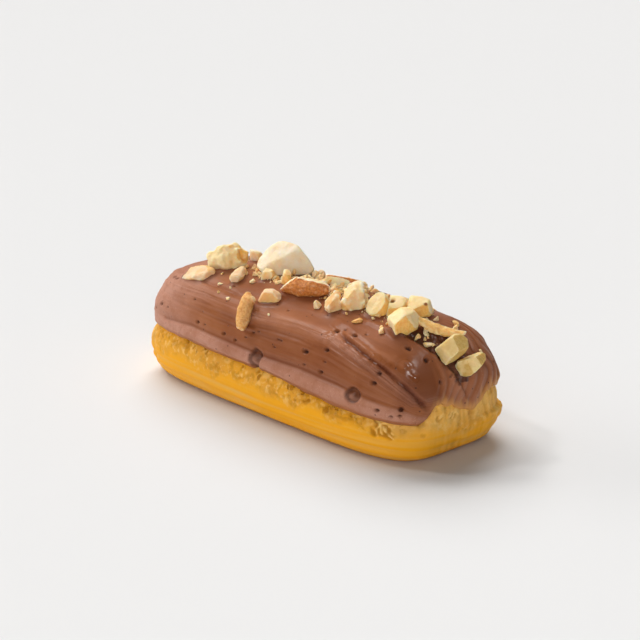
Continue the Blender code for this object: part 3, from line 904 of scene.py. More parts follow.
@dataclass
class IcingSpread:
    """The icing, spread along the eclair and combed down over its nose."""

    form: EclairForm
    nuts: BVHTree
    near_nut: Array = field(init=False)
    finish: IcingFinish = IcingFinish()
    columns: int = 760
    rings: int = 117
    thickness: float = 2.0 * MM
    at_edge: float = 1.1 * MM
    taper: float = 6.0 * MM
    lip: float = 0.6 * MM
    lip_rings: int = 6
    lip_tuck: float = 0.45 * MM
    step_reach: float = 7.0 * MM
    pinch_depth: float = 1.1 * MM
    pinch_level: float = 16.5 * MM
    pinch_reach: float = 7.0 * MM
    pinch_turn: float = math.radians(50)
    crease_share: float = 0.6
    far_levels: Place = (19.5 * MM, 28.5 * MM, 31.0 * MM)
    band_widths: Row = (4.5, 9.5, 4.0, 6.0)
    comb_pitch: float = 3.1 * MM
    comb_depth: float = 0.5 * MM
    comb_span: Span = (-24.0, 62.0)
    comb_fades: Span = (7.0, 22.0)
    thin_span: Span = (-28.5, 66.0)
    thin_fades: Span = (10.0, 24.0)
    thinning: float = 0.76
    thin_reach: float = 3.6 * MM
    edge_wave: float = 0.35 * MM
    ragged: float = 1.0 * MM
    dimple_reach: float = 4.0 * MM
    top_level: float = 20 * MM
    nut_reach: float = 12 * MM
    mess: tuple[Span, Span] = ((47.6, -5.0), (54.4, 0.6))
    glints: tuple[tuple[Place, float], ...] = (
        ((53.8, -14.7, 24.5), 1.7), ((51.0, -15.2, 27.1), 2.4), ((50.8, -17.8, 23.6), 1.9),
        ((47.5, -17.6, 25.6), 2.2), ((43.6, -18.4, 27.0), 2.4), ((38.5, -18.8, 28.2), 2.6),
        ((33.1, -18.8, 29.1), 2.8), ((26.0, -18.8, 29.6), 2.4),
    )
    collar: float = 0.55 * MM
    collar_reach: float = 0.8 * MM
    edge: Knots = (
        (-180, 15.2), (-150, 15.5), (-117, 16.0), (-100, 15.3), (-86, 15.4), (-68, 13.8),
        (-56, 12.7), (-40, 12.1), (-33, 11.9), (-28, 13.6), (-22, 16.4), (-14, 15.6),
        (0, 13.1), (11, 12.2), (24, 15.5), (36, 15.9), (60, 14.4), (85, 15.6),
        (110, 14.6), (135, 15.8), (160, 14.7),
    )

    def edge_level(self, angle: Array) -> Array:
        """The height of the icing's lower edge at each plan angle."""
        return around(self.edge, angle) * MM

    def nose_share(self, angle: Array) -> Array:
        """How much each plan angle belongs to the nose, where the icing is combed thin."""
        return within(signed_degrees(angle), self.thin_span, self.thin_fades)

    def edge_thickness(self, angle: Array) -> Array:
        """The icing's thickness at its lower edge at each plan angle."""
        return self.at_edge * (1 - self.thinning * self.nose_share(angle))

    def pinch(self, angle: Array, level: Array) -> Array:
        """How far the side is drawn in by the rim round the blunt end."""
        from_end = np.abs((angle % (2 * math.pi)) - math.pi)
        near = smooth(1 - np.abs(level - self.pinch_level) / self.pinch_reach)
        return -self.pinch_depth * near * smooth(1.5 - from_end / self.pinch_turn)

    def side(self, angle: Array, turn: Array, out: Array | float) -> Array:
        """Points of the body's side, drawn in at the blunt end."""
        level = self.form.point(angle, turn, 0.0)[..., 2]
        return self.form.point(angle, turn, out + self.pinch(angle, level))

    def route_offset(self, points: Array, route: Knots) -> tuple[Array, Array]:
        """How points lie to a route.

        Args:
            points: Points of the body's side.
            route: Rows of (degrees round the plan, height in mm).

        Returns:
            Each point's distance from the route, and how far above it the point lies.
        """
        degrees, level = np.array(route).T
        knots = self.form.point(np.radians(degrees), self.form.turn_at(level * MM), 0.0)
        nearest = np.full(points.shape[:-1], np.inf)
        above = np.zeros(points.shape[:-1])
        for start, end in zip(knots[:-1], knots[1:]):
            run = end - start
            share = np.clip((points - start) @ run / (run @ run), 0, 1)
            offset = points - (start + share[..., None] * run)
            distance = lengths(offset)
            outward = start * (0.3, 1.0, 0.0)
            outward = outward + (0.0, 0.0, start[2] - self.form.widest_level)
            upward = np.cross(outward, run)
            upward *= np.sign(upward[2]) / np.linalg.norm(upward)
            closer = distance < nearest
            nearest = np.where(closer, distance, nearest)
            above = np.where(closer, offset @ upward, above)
        return nearest, above

    def stroke_relief(self, angle: Array, turn: Array) -> tuple[Array, Array]:
        """The spatula's main ridges and creases, as the solid has them, with sharper lines.

        Args:
            angle: Plan angles.
            turn: Turns up the side.

        Returns:
            The relief, and how much painted shade each point takes from lying in a crease.
        """
        points = self.form.point(angle, turn, 0.0)
        relief = 0.25 * MM * slow_lumps(points, 9 * MM, 3)
        crease = np.zeros(turn.shape)
        for stroke in STROKES:
            distance, above = self.route_offset(points, stroke.route)
            share, shown = 1.0, 1.0
            if stroke.height < 0:
                for degrees, level in (stroke.route[0], stroke.route[-1]):
                    end = self.form.spot(degrees, level)
                    shown = shown * smooth(lengths(points - end) / (4 * MM))
                share = self.crease_share * shown
            relief += share * stroke.height * MM * bell(distance, stroke.half_width * MM)
            fade = smooth(above / MM) * (1 - smooth(distance / self.step_reach))
            relief += stroke.step * MM * fade * shown
            if stroke.height < 0:
                beside = (1 - fade_in(distance, 2 * MM, MM)) * shown
                broken = np.clip(0.7 + 1.2 * Pattern.RIDGE_BREAKS.at(points), 0.1, 1.6)
                ridge = stroke.ridge * broken * bell(above + 1.1 * MM, 0.42 * MM)
                relief += ridge * MM * beside
                relief -= 0.5 * stroke.ridge * MM * bell(distance, 0.4 * MM) * shown
                # Painted shade along the crease.
                crease = np.maximum(crease, stroke.shade * shown * bell(distance, 0.4 * MM))
        start = self.form.climb_at(self.form.turn_at(self.edge_level(angle)))
        climb = self.form.climb_at(turn) - start
        return relief * smooth(0.15 + climb / (2.5 * MM)), crease

    def across(self, angle: Array, level: Array) -> Array:
        """A distance across the spatula's strokes, which run together at the notch.

        Args:
            angle: Plan angles.
            level: Heights over the ground.

        Returns:
            The distance in mm, 0 at the icing's edge.
        """
        degrees = signed_degrees(angle)
        low, ridge, swept = (
            np.interp(degrees, *np.array(STROKES[number].route).T) * MM for number in (0, 2, 3)
        )
        far = fade_in(degrees, 20, 30)
        far_low, far_ridge, far_swept = self.far_levels
        low = low * (1 - far) + far_low * far
        ridge = np.maximum(ridge * (1 - far) + far_ridge * far, low + 0.8 * MM)
        swept = np.maximum(swept * (1 - far) + far_swept * far, ridge + 0.8 * MM)
        stops = (self.edge_level(angle), low, ridge, swept, np.full_like(low, self.form.height))
        total = np.zeros_like(level)
        for start, end, width in zip(stops[:-1], stops[1:], self.band_widths):
            total += width * np.clip((level - start) / np.maximum(end - start, 0.3 * MM), 0, 1)
        return total

    def comb_share(self, angle: Array) -> Array:
        """How much the comb's grooves show at each plan angle."""
        return within(signed_degrees(angle), self.comb_span, self.comb_fades)

    def streak_strength(self, angle: Array, points: Array, across: Array) -> Array:
        """How much the fine streaks show: most along the upper ridge, and not on the nose."""
        strength = 0.26 + 0.74 * bell(across - 14.6, 3.4) + 0.2 * bell(across - 5.4, 0.9)
        strength = strength + 0.3 * fade_in(across, 19.5, 2)
        patchy = 0.45 + 0.9 * smooth(0.5 + Pattern.STREAK_PATCHES.at(points))
        return np.clip(strength * patchy, 0, 1) * (1 - self.comb_share(angle))

    def comb_grooves(self, angle: Array, along: Array, points: Array) -> tuple[Array, Array]:
        """The comb's grooves down the nose.

        Args:
            angle: Plan angles.
            along: Distances run round the outline.
            points: The surface's points.

        Returns:
            The relief, and how much each point lies in a groove.
        """
        level = points[..., 2]
        bowed = ((level - 25 * MM) / (10 * MM)) ** 2 * 1.7 * MM
        slant = (along - 0.10 * (level - self.form.widest_level) + bowed) / self.comb_pitch
        slant = slant + 1.1 * Pattern.COMB_SLANT.at(points)
        wave = np.sin(math.pi * slant) ** 2
        fine = np.abs(np.sin(math.pi * (2.6 * slant + 0.5 * Pattern.COMB_LINES.at(points))))
        track = streak_track(slant * 1.4, level / (16 * MM))
        depth = self.comb_depth * np.clip(0.6 + 0.9 * Pattern.COMB_DEPTH.at(track), 0.1, 1.2)
        shown = self.comb_share(angle) * fade_out(level, 33.6 * MM, 4 * MM)
        shown = shown * fade_in(level, self.edge_level(angle), 2.5 * MM)
        relief = (wave - 0.5) * depth + 0.25 * depth * (fine - 0.5)
        groove = (1 - smooth(wave / 0.7)) * depth / self.comb_depth
        return relief * shown, (0.9 * groove + 0.1 * (1 - smooth(fine / 0.6))) * shown

    def dimples(self, points: Array, normals: Array) -> tuple[Array, Array]:
        """The burst bubbles, seen ones and seeded ones round the other sides.

        Args:
            points: The surface's points.
            normals: The surface's normals.

        Returns:
            The relief, and how much painted shade each point takes.
        """
        relief = np.zeros(len(points))
        dark = np.zeros(len(points))
        for dimple in (*SEEN_DIMPLES, *self.hidden_dimples()):
            offset = points - np.array(dimple.place) * MM
            reach = lengths(offset)
            near = np.flatnonzero(reach < self.dimple_reach)
            if not len(near):
                continue
            middle = near[np.argmin(reach[near])]
            offset = points[near] - points[middle]
            offset -= (offset @ normals[middle])[:, None] * normals[middle]
            radius = dimple.radius * MM
            if dimple.square:
                lean = np.array([0.96, 0.0, -0.28])
                upright = np.array([0.28, 0.0, 0.96])
                spread = np.abs(offset @ lean) ** 3.5 + np.abs(offset @ upright) ** 3.5
                share = spread ** (1 / 3.5) / radius
            else:
                long = 0.85 if dimple.bump else 0.6
                share = lengths(offset * (long, 1, 1.1)) / radius
            rim = 0.12 * bell(share - 1.15, 0.22)
            swell = dimple.bump * bell(share - 0.12, 0.4)
            # The bubble's bowl, its rim and one side take painted shade.
            if dimple.bump:
                bowl = 1 - fade_in(share, 0.70, 0.32)
                shade = 0.36 * bowl + 0.46 * bell(share - 0.84, 0.14)
                aside = lengths(offset - (0.35 * radius, 0, 0)) / radius
                shade += 0.26 * bell(aside, 0.34) * bowl
            else:
                bowl = 1 - fade_in(share, 0.45, 0.6)
                shade = 0.95 * (1 - fade_in(share, 0.35, 0.55))
            relief[near] += dimple.depth * MM * (rim - bowl + swell)
            dark[near] = np.maximum(dark[near], shade)
        return relief, dark

    def hidden_dimples(self) -> list[Dimple]:
        """Burst bubbles for the far side, the blunt end and the top."""
        draw = np.random.default_rng(61)
        found = []
        for degrees in (*draw.uniform(30, 225, 34), *draw.uniform(-135, -50, 16)):
            level = draw.uniform(17, 33)
            place = self.form.spot(degrees, level) / MM
            radius = float(draw.choice((0.38, 0.45, 0.55, 0.7), p=(0.4, 0.3, 0.2, 0.1)))
            if degrees < 0:
                radius = min(radius, 0.4)
            found.append(Dimple(tuple(place), radius, radius))
        broad = ((76, 18.5), (128, 24.0), (158, 17.8))
        return found + [Dimple(tuple(self.form.spot(*at) / MM), 1.5, 0.7, 0.5) for at in broad]

    def nut_distance(self, points: Array) -> Array:
        """The distance from each point to the nearest nut, up to the reach."""
        distance = np.full(len(points), self.nut_reach)
        for number in np.flatnonzero(points[:, 2] > self.top_level):
            found = self.nuts.find_nearest(Vector(points[number]), self.nut_reach)[3]
            if found is not None:
                distance[number] = found
        return distance

    def sheen_and_dullness(self, angle: Array, points: Array, across: Array, grooves: Array) -> Array:
        """Where the icing takes a painted pinkish sheen and is rougher: along its rolls and its upper
        ridge, and painted light on its blunt end.

        Args:
            angle: Plan angles.
            points: The surface's points.
            across: Distances across the strokes, in mm.
            grooves: How much each point lies in a groove of the comb.

        Returns:
            The share of painted sheen and of roughness, 0 to 1.
        """
        patchy = 0.8 + 0.5 * Pattern.SHEEN_PATCHES.at(points)
        # Painted reflection of the bright floor on the lower roll, and painted sheen on the ridge,
        # beside the swept crease and on the comb.
        roll = 0.95 * fade_in(across, 0.75, 0.5) * fade_out(across, 4.5, 0.9)
        ridge = 0.26 * bell(across - 14.2, 1.6)
        beside = 0.18 * bell(across - 18.4, 0.7)
        crown = 0.05 * fade_in(across, 19.5, 1.5)
        crown = crown + 0.6 * bell(across - 16.4, 1.1) * fade_in(points[..., 0] / MM, 20, 10)
        # Painted light on the blunt end, which faces the lights.
        blunt = 0.85 * fade_in(-points[..., 0] / MM, 18, 26)
        nose = self.nose_share(angle)
        sides = (1 - nose) * (roll + ridge + beside + crown)
        combed = 0.28 * nose * (1 - 0.7 * grooves) * smooth((signed_degrees(angle) + 24) / 14)
        return np.clip((sides + blunt) * patchy + combed, 0, 1)

    def sweep_shade(self, points: Array) -> Array:
        """Painted shade on the top and the middle band, and a browner tone where the nose sweeps the
        icing smooth.
        """
        x, y, level = np.moveaxis(points / MM, -1, 0)
        top = 0.3 * fade_in(level, 29.5, 3) * smooth((y + 19) / 5) * smooth((x + 30) / 20)
        swept = within(x, (49, 62), (5, 4)) * fade_out(y, -6, 4)
        middle = smooth((x + 24) / 16) * fade_in(level, 17, 3) * fade_out(level, 29, 3)
        middle = 0.3 * middle * fade_out(y, -14, 4)
        return top + np.maximum(middle, 0.5 * swept * fade_in(level, 15, 4))

    def thin_share(self, angle: Array, along: Array, points: Array) -> Array:
        """Where the icing over the nose is so thin that the crust shows through."""
        climb = points[..., 2] - self.edge_level(angle)
        track = streak_track(along / (1.3 * MM), climb / (9 * MM))
        uneven = 2.2 * MM * Pattern.THIN_EDGE.at(track)
        return 1.1 * self.nose_share(angle) * (1 - smooth((climb + uneven) / self.thin_reach))

    def messy_share(self, points: Array, rough: Array) -> Array:
        """Where the icing is smeared, along a line between the last nuts; it also takes painted
        shade.
        """
        start, end = np.array(self.mess)
        run = end - start
        share = np.clip((points[:, :2] / MM - start) @ run, 0, None)
        share = np.minimum(share / (run @ run), 1)[:, None]
        aside = lengths(points[:, :2] / MM - start - share * run)
        return fade_out(aside, 4.5 + 1.5 * rough, 1.2) * (points[:, 2] > self.top_level)

    def wet_share(self, points: Array) -> Array:
        """How wet the icing looks at each point, 0 to 1, for its glints."""
        wet = np.zeros(len(points))
        for place, radius in self.glints:
            wet = np.maximum(wet, bell(lengths(points - np.array(place) * MM), radius * MM))
        return wet

    def build(self) -> RingMesh:
        """Make the icing's mesh, with its relief and the values that its finish reads.

        Returns:
            The icing.
        """
        form = self.form
        angles, along = form.columns(self.columns)
        edge = self.edge_level(angles)
        outline = form.point(angles, edge * 0, 0.0)
        edge = edge + self.edge_wave * Pattern.EDGE_WAVE.at(outline)
        edge = edge + self.ragged * self.nose_share(angles) * Pattern.EDGE_RAGS.at(outline)
        lip = self.lip * (1 - 0.6 * self.nose_share(angles))
        low = form.climb_at(form.turn_at(edge + lip))
        shares = np.linspace(0, 1, self.rings)[:, None]
        turn = form.turn_after(low + shares * (form.climbs[-1] - low))
        turn[-1] = math.pi / 2
        grid_angles, grid_along = np.broadcast_arrays(angles, along, turn)[:2]
        strokes, crease = self.stroke_relief(grid_angles, turn)
        outer = self.side(angles, turn, strokes)
        at_edge = self.edge_thickness(angles)
        around_lip = np.linspace(0, math.pi, self.lip_rings + 2)[1:-1, None]
        tuck = (at_edge + self.lip_tuck) * (1 + np.cos(around_lip)) / 2
        rise = lip * np.abs(np.cos(around_lip)) ** 1.5
        bead = self.side(angles, form.turn_at(edge + rise), -tuck)
        inner_shares = np.linspace(1, 0, 5)[:, None]
        inner_turn = form.turn_after(low + inner_shares * (form.climbs[-1] - low))
        inner_turn[0] = math.pi / 2
        climb = form.climb_at(inner_turn) - low
        depth = at_edge + self.lip_tuck
        depth = depth + (self.thickness - at_edge) * smooth(climb / self.taper)
        inner = self.side(angles, inner_turn, -depth)
        rings = np.concatenate([inner, bead, outer])
        hidden = len(rings) - self.rings
        icing = RingMesh("chocolate_icing_spread", rings)

        across = self.across(grid_angles, outer[..., 2])
        streaky = self.streak_strength(grid_angles, outer, across)
        track = streak_track(across, grid_along / (40 * MM))
        streaks = 0.19 * Pattern.BROAD_STREAKS.at(track) + 0.13 * Pattern.NARROW_STREAKS.at(track)
        fade = fade_in(outer[..., 2], edge, 1.5 * MM)
        combed, grooves = self.comb_grooves(grid_angles, grid_along, outer)
        icing.displace(self.whole(streaks * MM * streaky * fade + combed, hidden))
        mesh = icing.object.data
        points, normals = read_points(mesh), read_normals(mesh)
        relief, dark = self.dimples(points, normals)
        self.near_nut = self.nut_distance(points)
        relief += self.collar * bell(self.near_nut, self.collar_reach)
        nose = fade_in(points[:, 0] / MM, 40, 8)
        rough = Pattern.MESS.at(points)
        messy = self.messy_share(points, rough)
        wet = self.wet_share(points)
        relief += 0.35 * MM * messy * rough
        relief += 0.5 * MM * wet * Pattern.RIPPLES.at(points * (0.5, 1, 1))
        add_layer(mesh, "wet", np.clip(wet + 0.4 * messy, 0, 1))
        write_points(mesh, points + normals * relief[:, None])
        # Painted shade round the nuts, and in the smeared patch together with the smear's own dark
        # colour.
        shaded = (0.4 + 0.2 * nose) * bell(self.near_nut, (0.7 + 0.5 * nose) * MM)
        shaded = np.maximum(shaded, messy * (0.74 + 0.3 * rough))
        add_layer(mesh, "hole", np.maximum(dark, shaded))
        layers = {
            # Painted sheen, with more roughness.
            "sheen_and_dullness": self.sheen_and_dullness(grid_angles, outer, across, np.clip(1.4 * grooves, 0, 1)),
            "streaky": streaky,
            "thin": self.thin_share(grid_angles, grid_along, outer),
            # Painted shade in creases and comb grooves and on the top and middle band, and a browner
            # swept zone.
            "crease": np.clip(crease + 0.26 * grooves + self.sweep_shade(outer), 0, 1),
            "spread": streak_track(across, grid_along / MM),
        }
        for name, values in layers.items():
            icing.paint(name, self.whole(values, hidden, edge=True))
        return icing

    @staticmethod
    def whole(values: Array, hidden: int, edge: bool = False) -> Array:
        """Values for all rings: the hidden ones take 0, or the first outer ring's value."""
        first = np.repeat(values[:1], hidden, axis=0) * (1.0 if edge else 0.0)
        return np.concatenate([first, values])

    def dress(self, icing: RingMesh) -> None:
        """Give the icing its finish and its place in the frame."""
        icing.object.data.materials.append(self.finish.material())
        settle(icing.object, "icing", "chocolate_icing")


def settle(piece: Object, slot: str, *nodes: str) -> None:
    """Let a piece ride on the body, and hide the CAD nodes that it stands in for.

    Args:
        piece: The piece.
        slot: The record's material slot; it is not used.
        nodes: The CAD nodes that it replaces.
    """
    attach(piece, BODY)
    if nodes:
        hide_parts(*nodes)
    triangles = sum(len(face.vertices) - 2 for face in piece.data.polygons)
    log.info("%s: %d triangles", piece.name, triangles)


@dataclass(frozen=True)
class Tear:
    """A place where the crust tore open as it rose, in mm: a hollow with upright strands.

    Each strand is (its place across the hollow, how far it leans for each step up).
    """

    place: Place
    half_width: float
    half_height: float
    strands: Knots


TEARS = (
    Tear((49.0, -20.8, 9.6), 3.9, 2.0, ((-1.5, 0.1), (-0.3, -0.5), (1.1, -0.8), (2.7, -0.6))),
    Tear((57.0, -8.4, 12.6), 1.5, 1.1, ((0.3, 0.2),)),
    Tear((58.3, -3.6, 12.4), 1.9, 1.3, ((-0.9, 0.9), (0.7, 0.9))),
    Tear((55.2, -12.6, 8.9), 1.1, 0.9, ((0.1, 0.2),)),
    Tear((-30.9, -23.5, 14.4), 1.7, 1.4, ((0.5, 0.1),)),
    Tear((38.0, 23.0, 10.5), 3.6, 2.0, ((-1.6, 0.3), (0.2, -0.4), (1.8, 0.2))),
    Tear((-22.0, 23.6, 12.0), 3.0, 1.8, ((-0.9, -0.3), (0.9, 0.4))),
)


@dataclass
class ChouxShell:
    """The piped and baked shell: striped by the nozzle below, craggy under the icing."""

    form: EclairForm
    icing: IcingSpread
    finish: ChouxFinish = ChouxFinish()
    columns: int = 760
    side_rings: int = 64
    base_rings: int = 9
    covered_rings: int = 5
    gap: float = 0.3 * MM
    shoulder: float = 4.2 * MM
    base_round: float = 1.1 * MM
    groove_pitch: float = 2.7 * MM
    groove_depth: float = 0.36 * MM
    groove_top: float = 9.0 * MM
    line_pitch: float = 0.9 * MM
    crag_start: float = 8.0 * MM
    crag_reach: float = 3.5 * MM
    fold_degrees: float = -136.0

    def crag_share(self, angle: Array, points: Array) -> Array:
        """How craggy the crust is: all of it under the icing, and none near the base."""
        uneven = 2.6 * MM * Pattern.CRAG_START.at(points)
        nose = 2.0 * MM * smooth(1 - np.abs(signed_degrees(angle)) / 45)
        start = self.crag_start + uneven - nose
        return fade_in(points[..., 2], start, self.crag_reach)

    def ledge(self, angle: Array, level: Array) -> Array:
        """The lip of crust that stands out low on the nose's far corner."""
        corner = bell(signed_degrees(angle) - 36, 16.0)
        under = fade_in(level, 3.5 * MM, 5 * MM)
        return corner * under * (1.3 * MM * (1 - fade_in(level, 9.3 * MM, 0.9 * MM)) - 0.3 * MM)

    def relief(self, angle: Array, along: Array, points: Array) -> tuple[Array, dict[str, Array]]:
        """The crust's relief and the values that its finish reads.

        Args:
            angle: Plan angles.
            along: Distances run round the outline.
            points: Points of the body's side.

        Returns:
            The relief, and each value by name.
        """
        level = points[..., 2]
        near_icing = smooth((level - self.icing.edge_level(angle) + 6 * MM) / (4 * MM))
        wander = 0.35 * slow_lumps(points, 40 * MM, 8)
        phase = level / self.groove_pitch + wander
        groove = 0.5 - 0.5 * np.cos(2 * math.pi * phase)
        piped = fade_out(level, self.groove_top, self.groove_pitch)
        run = streak_track(along / (16 * MM), level / (3 * MM))
        piped = piped * np.clip(0.65 + 0.7 * Pattern.GROOVE_BREAKS.at(run), 0.15, 1)
        track = streak_track(level / self.line_pitch + wander * 3, angle * 1.5)
        lines = Pattern.NOZZLE_LINES.at(track)
        crag = self.crag_share(angle, points)
        crumble = Pattern.CRUMBLE.at(points)
        shaded_pit = fade_in(Pattern.PITS.at(points * (1.0, 1.0, 1.4)), 0.3, 0.3) * crag
        deep = fade_in(Pattern.DEEP_PITS.at(points), 0.30, 0.25) * crag * near_icing
        wrinkle = np.abs(Pattern.WRINKLES.at(points))
        pale = fade_in(Pattern.PALE_PATCHES.at(points), 0.15, 0.4) * crag
        fibre = streak_track(along / (1.4 * MM), level / (7 * MM))
        fibre = Pattern.FIBRES.at(fibre) * self.icing.nose_share(angle)
        relief = -self.groove_depth * groove * piped + 0.09 * MM * lines * (1 - crag)
        relief += MM * crag * (0.22 * crumble - 0.12 * wrinkle - 0.16 * shaded_pit - 0.45 * deep)
        relief += 0.22 * MM * fibre * fade_in(level, 5 * MM, 5 * MM)
        fold = bell(signed_degrees(angle) - self.fold_degrees, 2.2)
        relief -= 0.7 * MM * fold * bell(level - 7 * MM, 5 * MM)
        torn, hollow = self.tear_share(points)
        x = points[..., 0] / MM
        # Painted light at both ends of the choux.
        ends = 0.42 * fade_in(np.abs(x + 3), 42, 12) * fade_in(level, 7 * MM, 5 * MM)
        relief += MM * (0.12 * torn - 0.6 * hollow)
        # Painted shade in pits, hollows and the furrows of fibres, and under the icing's lip.
        dark = 0.3 * shaded_pit + 0.7 * deep + 0.8 * hollow + 0.45 * np.clip(-fibre, 0, 1)
        dark = dark + 0.25 * crag * near_icing * fade_in(x, 8, 22) * fade_out(x, 50, 8)
        # Darker at the very bottom, and painted shade along the fold.
        baked = 1 - fade_in(level, 0.2 * MM, 1.8 * MM) + 0.25 * fold
        values = {
            "stripe": np.clip(0.75 * groove * piped + 0.5 * lines * (1 - crag), 0, 1),
            "crag": crag,
            "upper": crag * near_icing * (1 - 0.85 * self.icing.nose_share(angle)),
            "shaded_pit": np.clip(dark - torn, 0, 1),
            # Pale strands, patches and fibres, and painted light at both ends.
            "torn": np.clip(0.9 * torn + 0.45 * pale + 0.3 * np.clip(fibre, 0, 1) + ends, 0, 1),
            "baked": 0.75 * np.clip(baked, 0, 1),
        }
        return relief, values

    def tear_share(self, points: Array) -> tuple[Array, Array]:
        """How much each point lies on a tear's strands, and in its hollow."""
        torn = np.zeros(points.shape[:-1])
        hollow = np.zeros(points.shape[:-1])
        wobble = Pattern.TEAR_WOBBLE.at(points)
        spine = self.form.spine / MM
        for tear in TEARS:
            x, y, _ = tear.place
            outward = np.array([x - np.clip(x, -spine, spine), y])
            outward /= np.linalg.norm(outward)
            offset = points / MM - tear.place
            across = offset[..., 1] * outward[0] - offset[..., 0] * outward[1]
            near = lengths(offset) < 3 * tear.half_width
            share = np.hypot(across / tear.half_width, offset[..., 2] / tear.half_height)
            inside = near * (1 - fade_in(share + 0.35 * wobble, 0.65, 0.4))
            strand = np.zeros(points.shape[:-1])
            for place, lean in tear.strands:
                aside = across - place - lean * offset[..., 2] + 0.9 * wobble
                whole = smooth(0.5 + 1.2 * Pattern.STRAND_BREAKS.at(points + place * MM))
                strand = np.maximum(strand, bell(aside, 0.45) * whole)
            torn = np.maximum(torn, inside * strand)
            hollow = np.maximum(hollow, inside * (1 - strand) * min(tear.half_width / 3, 1))
        return torn, hollow

    def build(self) -> RingMesh:
        """Make the shell's mesh.

        Returns:
            The shell.
        """
        form = self.form
        angles, along = form.columns(self.columns)
        edge = self.icing.edge_level(angles)
        at_edge = self.icing.edge_thickness(angles)
        base_side = form.width / 2 * np.cos(form.turn_at(np.array(0.0))) ** (2 / form.side_power)
        base_side = base_side - self.base_round
        shares = np.linspace(0, 1, self.base_rings)[:, None]
        hollow = 0.5 * MM * (1 - shares**6)
        base = form.ring_point(angles, base_side * shares, hollow + angles * 0)

        side_shares = np.linspace(0, 1, self.side_rings + 1)[1:, None]
        top = form.climb_at(form.turn_at(edge))
        low_run = form.widest_level * 1.08
        run = side_shares * (top + low_run) - low_run
        level_below = form.widest_level + run / 1.08
        turn = np.where(run < 0, form.turn_at(level_below), form.turn_after(run))
        grid, grid_along = np.broadcast_arrays(angles, along, turn)[:2]
        points = form.point(grid, turn, 0.0)
        level = points[..., 2]
        relief, values = self.relief(grid, grid_along, points)
        under = np.clip((level - edge + self.shoulder) / self.shoulder, 0, 1)
        inset = (at_edge + self.gap) * under**1.6
        round_off = self.base_round * (1 - smooth(level / (1.6 * MM)))
        relief = relief * smooth(level / (1.2 * MM)) * (1 - 0.8 * under**6)
        relief = relief + self.ledge(grid, level)
        side = self.icing.side(grid, turn, relief - inset - round_off)

        cover_shares = np.linspace(0, 1, self.covered_rings + 1)[1:, None]
        cover_turn = form.turn_after(top + cover_shares * (form.climbs[-1] - top))
        cover_turn[-1] = math.pi / 2
        climb = form.climb_at(cover_turn) - top
        extra = (self.icing.thickness - at_edge) * smooth(climb / self.icing.taper)
        cover = self.icing.side(angles, cover_turn, -(at_edge + extra + self.gap))

        shell = RingMesh("choux_shell_crust", np.concatenate([base, side, cover]))
        for name, value in values.items():
            below = np.repeat(value[:1], self.base_rings, axis=0)
            above = np.repeat(value[-1:], self.covered_rings, axis=0)
            shell.paint(name, np.concatenate([below, value, above]))
        return shell

    def dress(self, shell: RingMesh) -> None:
        """Give the shell its finish and its place in the frame."""
        shell.object.data.materials.append(self.finish.material())
        settle(shell.object, "choux", "choux_shell")


@dataclass(frozen=True)
class Spot:
    """A hole or a knob on a nut: shares of its box for the place, and sizes in mm."""

    place: Place
    radius: float
    height: float


@dataclass(frozen=True)
class NutWork:
    """How a piece of nut is worked over.

    Grain and lumps are the heights in mm of its surface, and wrinkles those of its skin.
    The skin covers what faces a given way by skin_edge or, without a way, what is no flat cut.
    Where that way turns from the lights, the skin colour is painted shade.
    Each cut is the (x, y, z) that a flat break faces and how far out it lies, 1 at the rim.
    """

    tone: NutTone
    grain: float = 0.04
    lumps: float = 0.12
    lump_size: float = 2.4
    rounding: int = 9
    wrinkles: float = 0.0
    skin_and_shade_way: Place | None = None
    spot: Spot | None = None
    skin_edge: float = 0.12
    cuts: tuple[Row, ...] = ()
    growth: float = 1.0
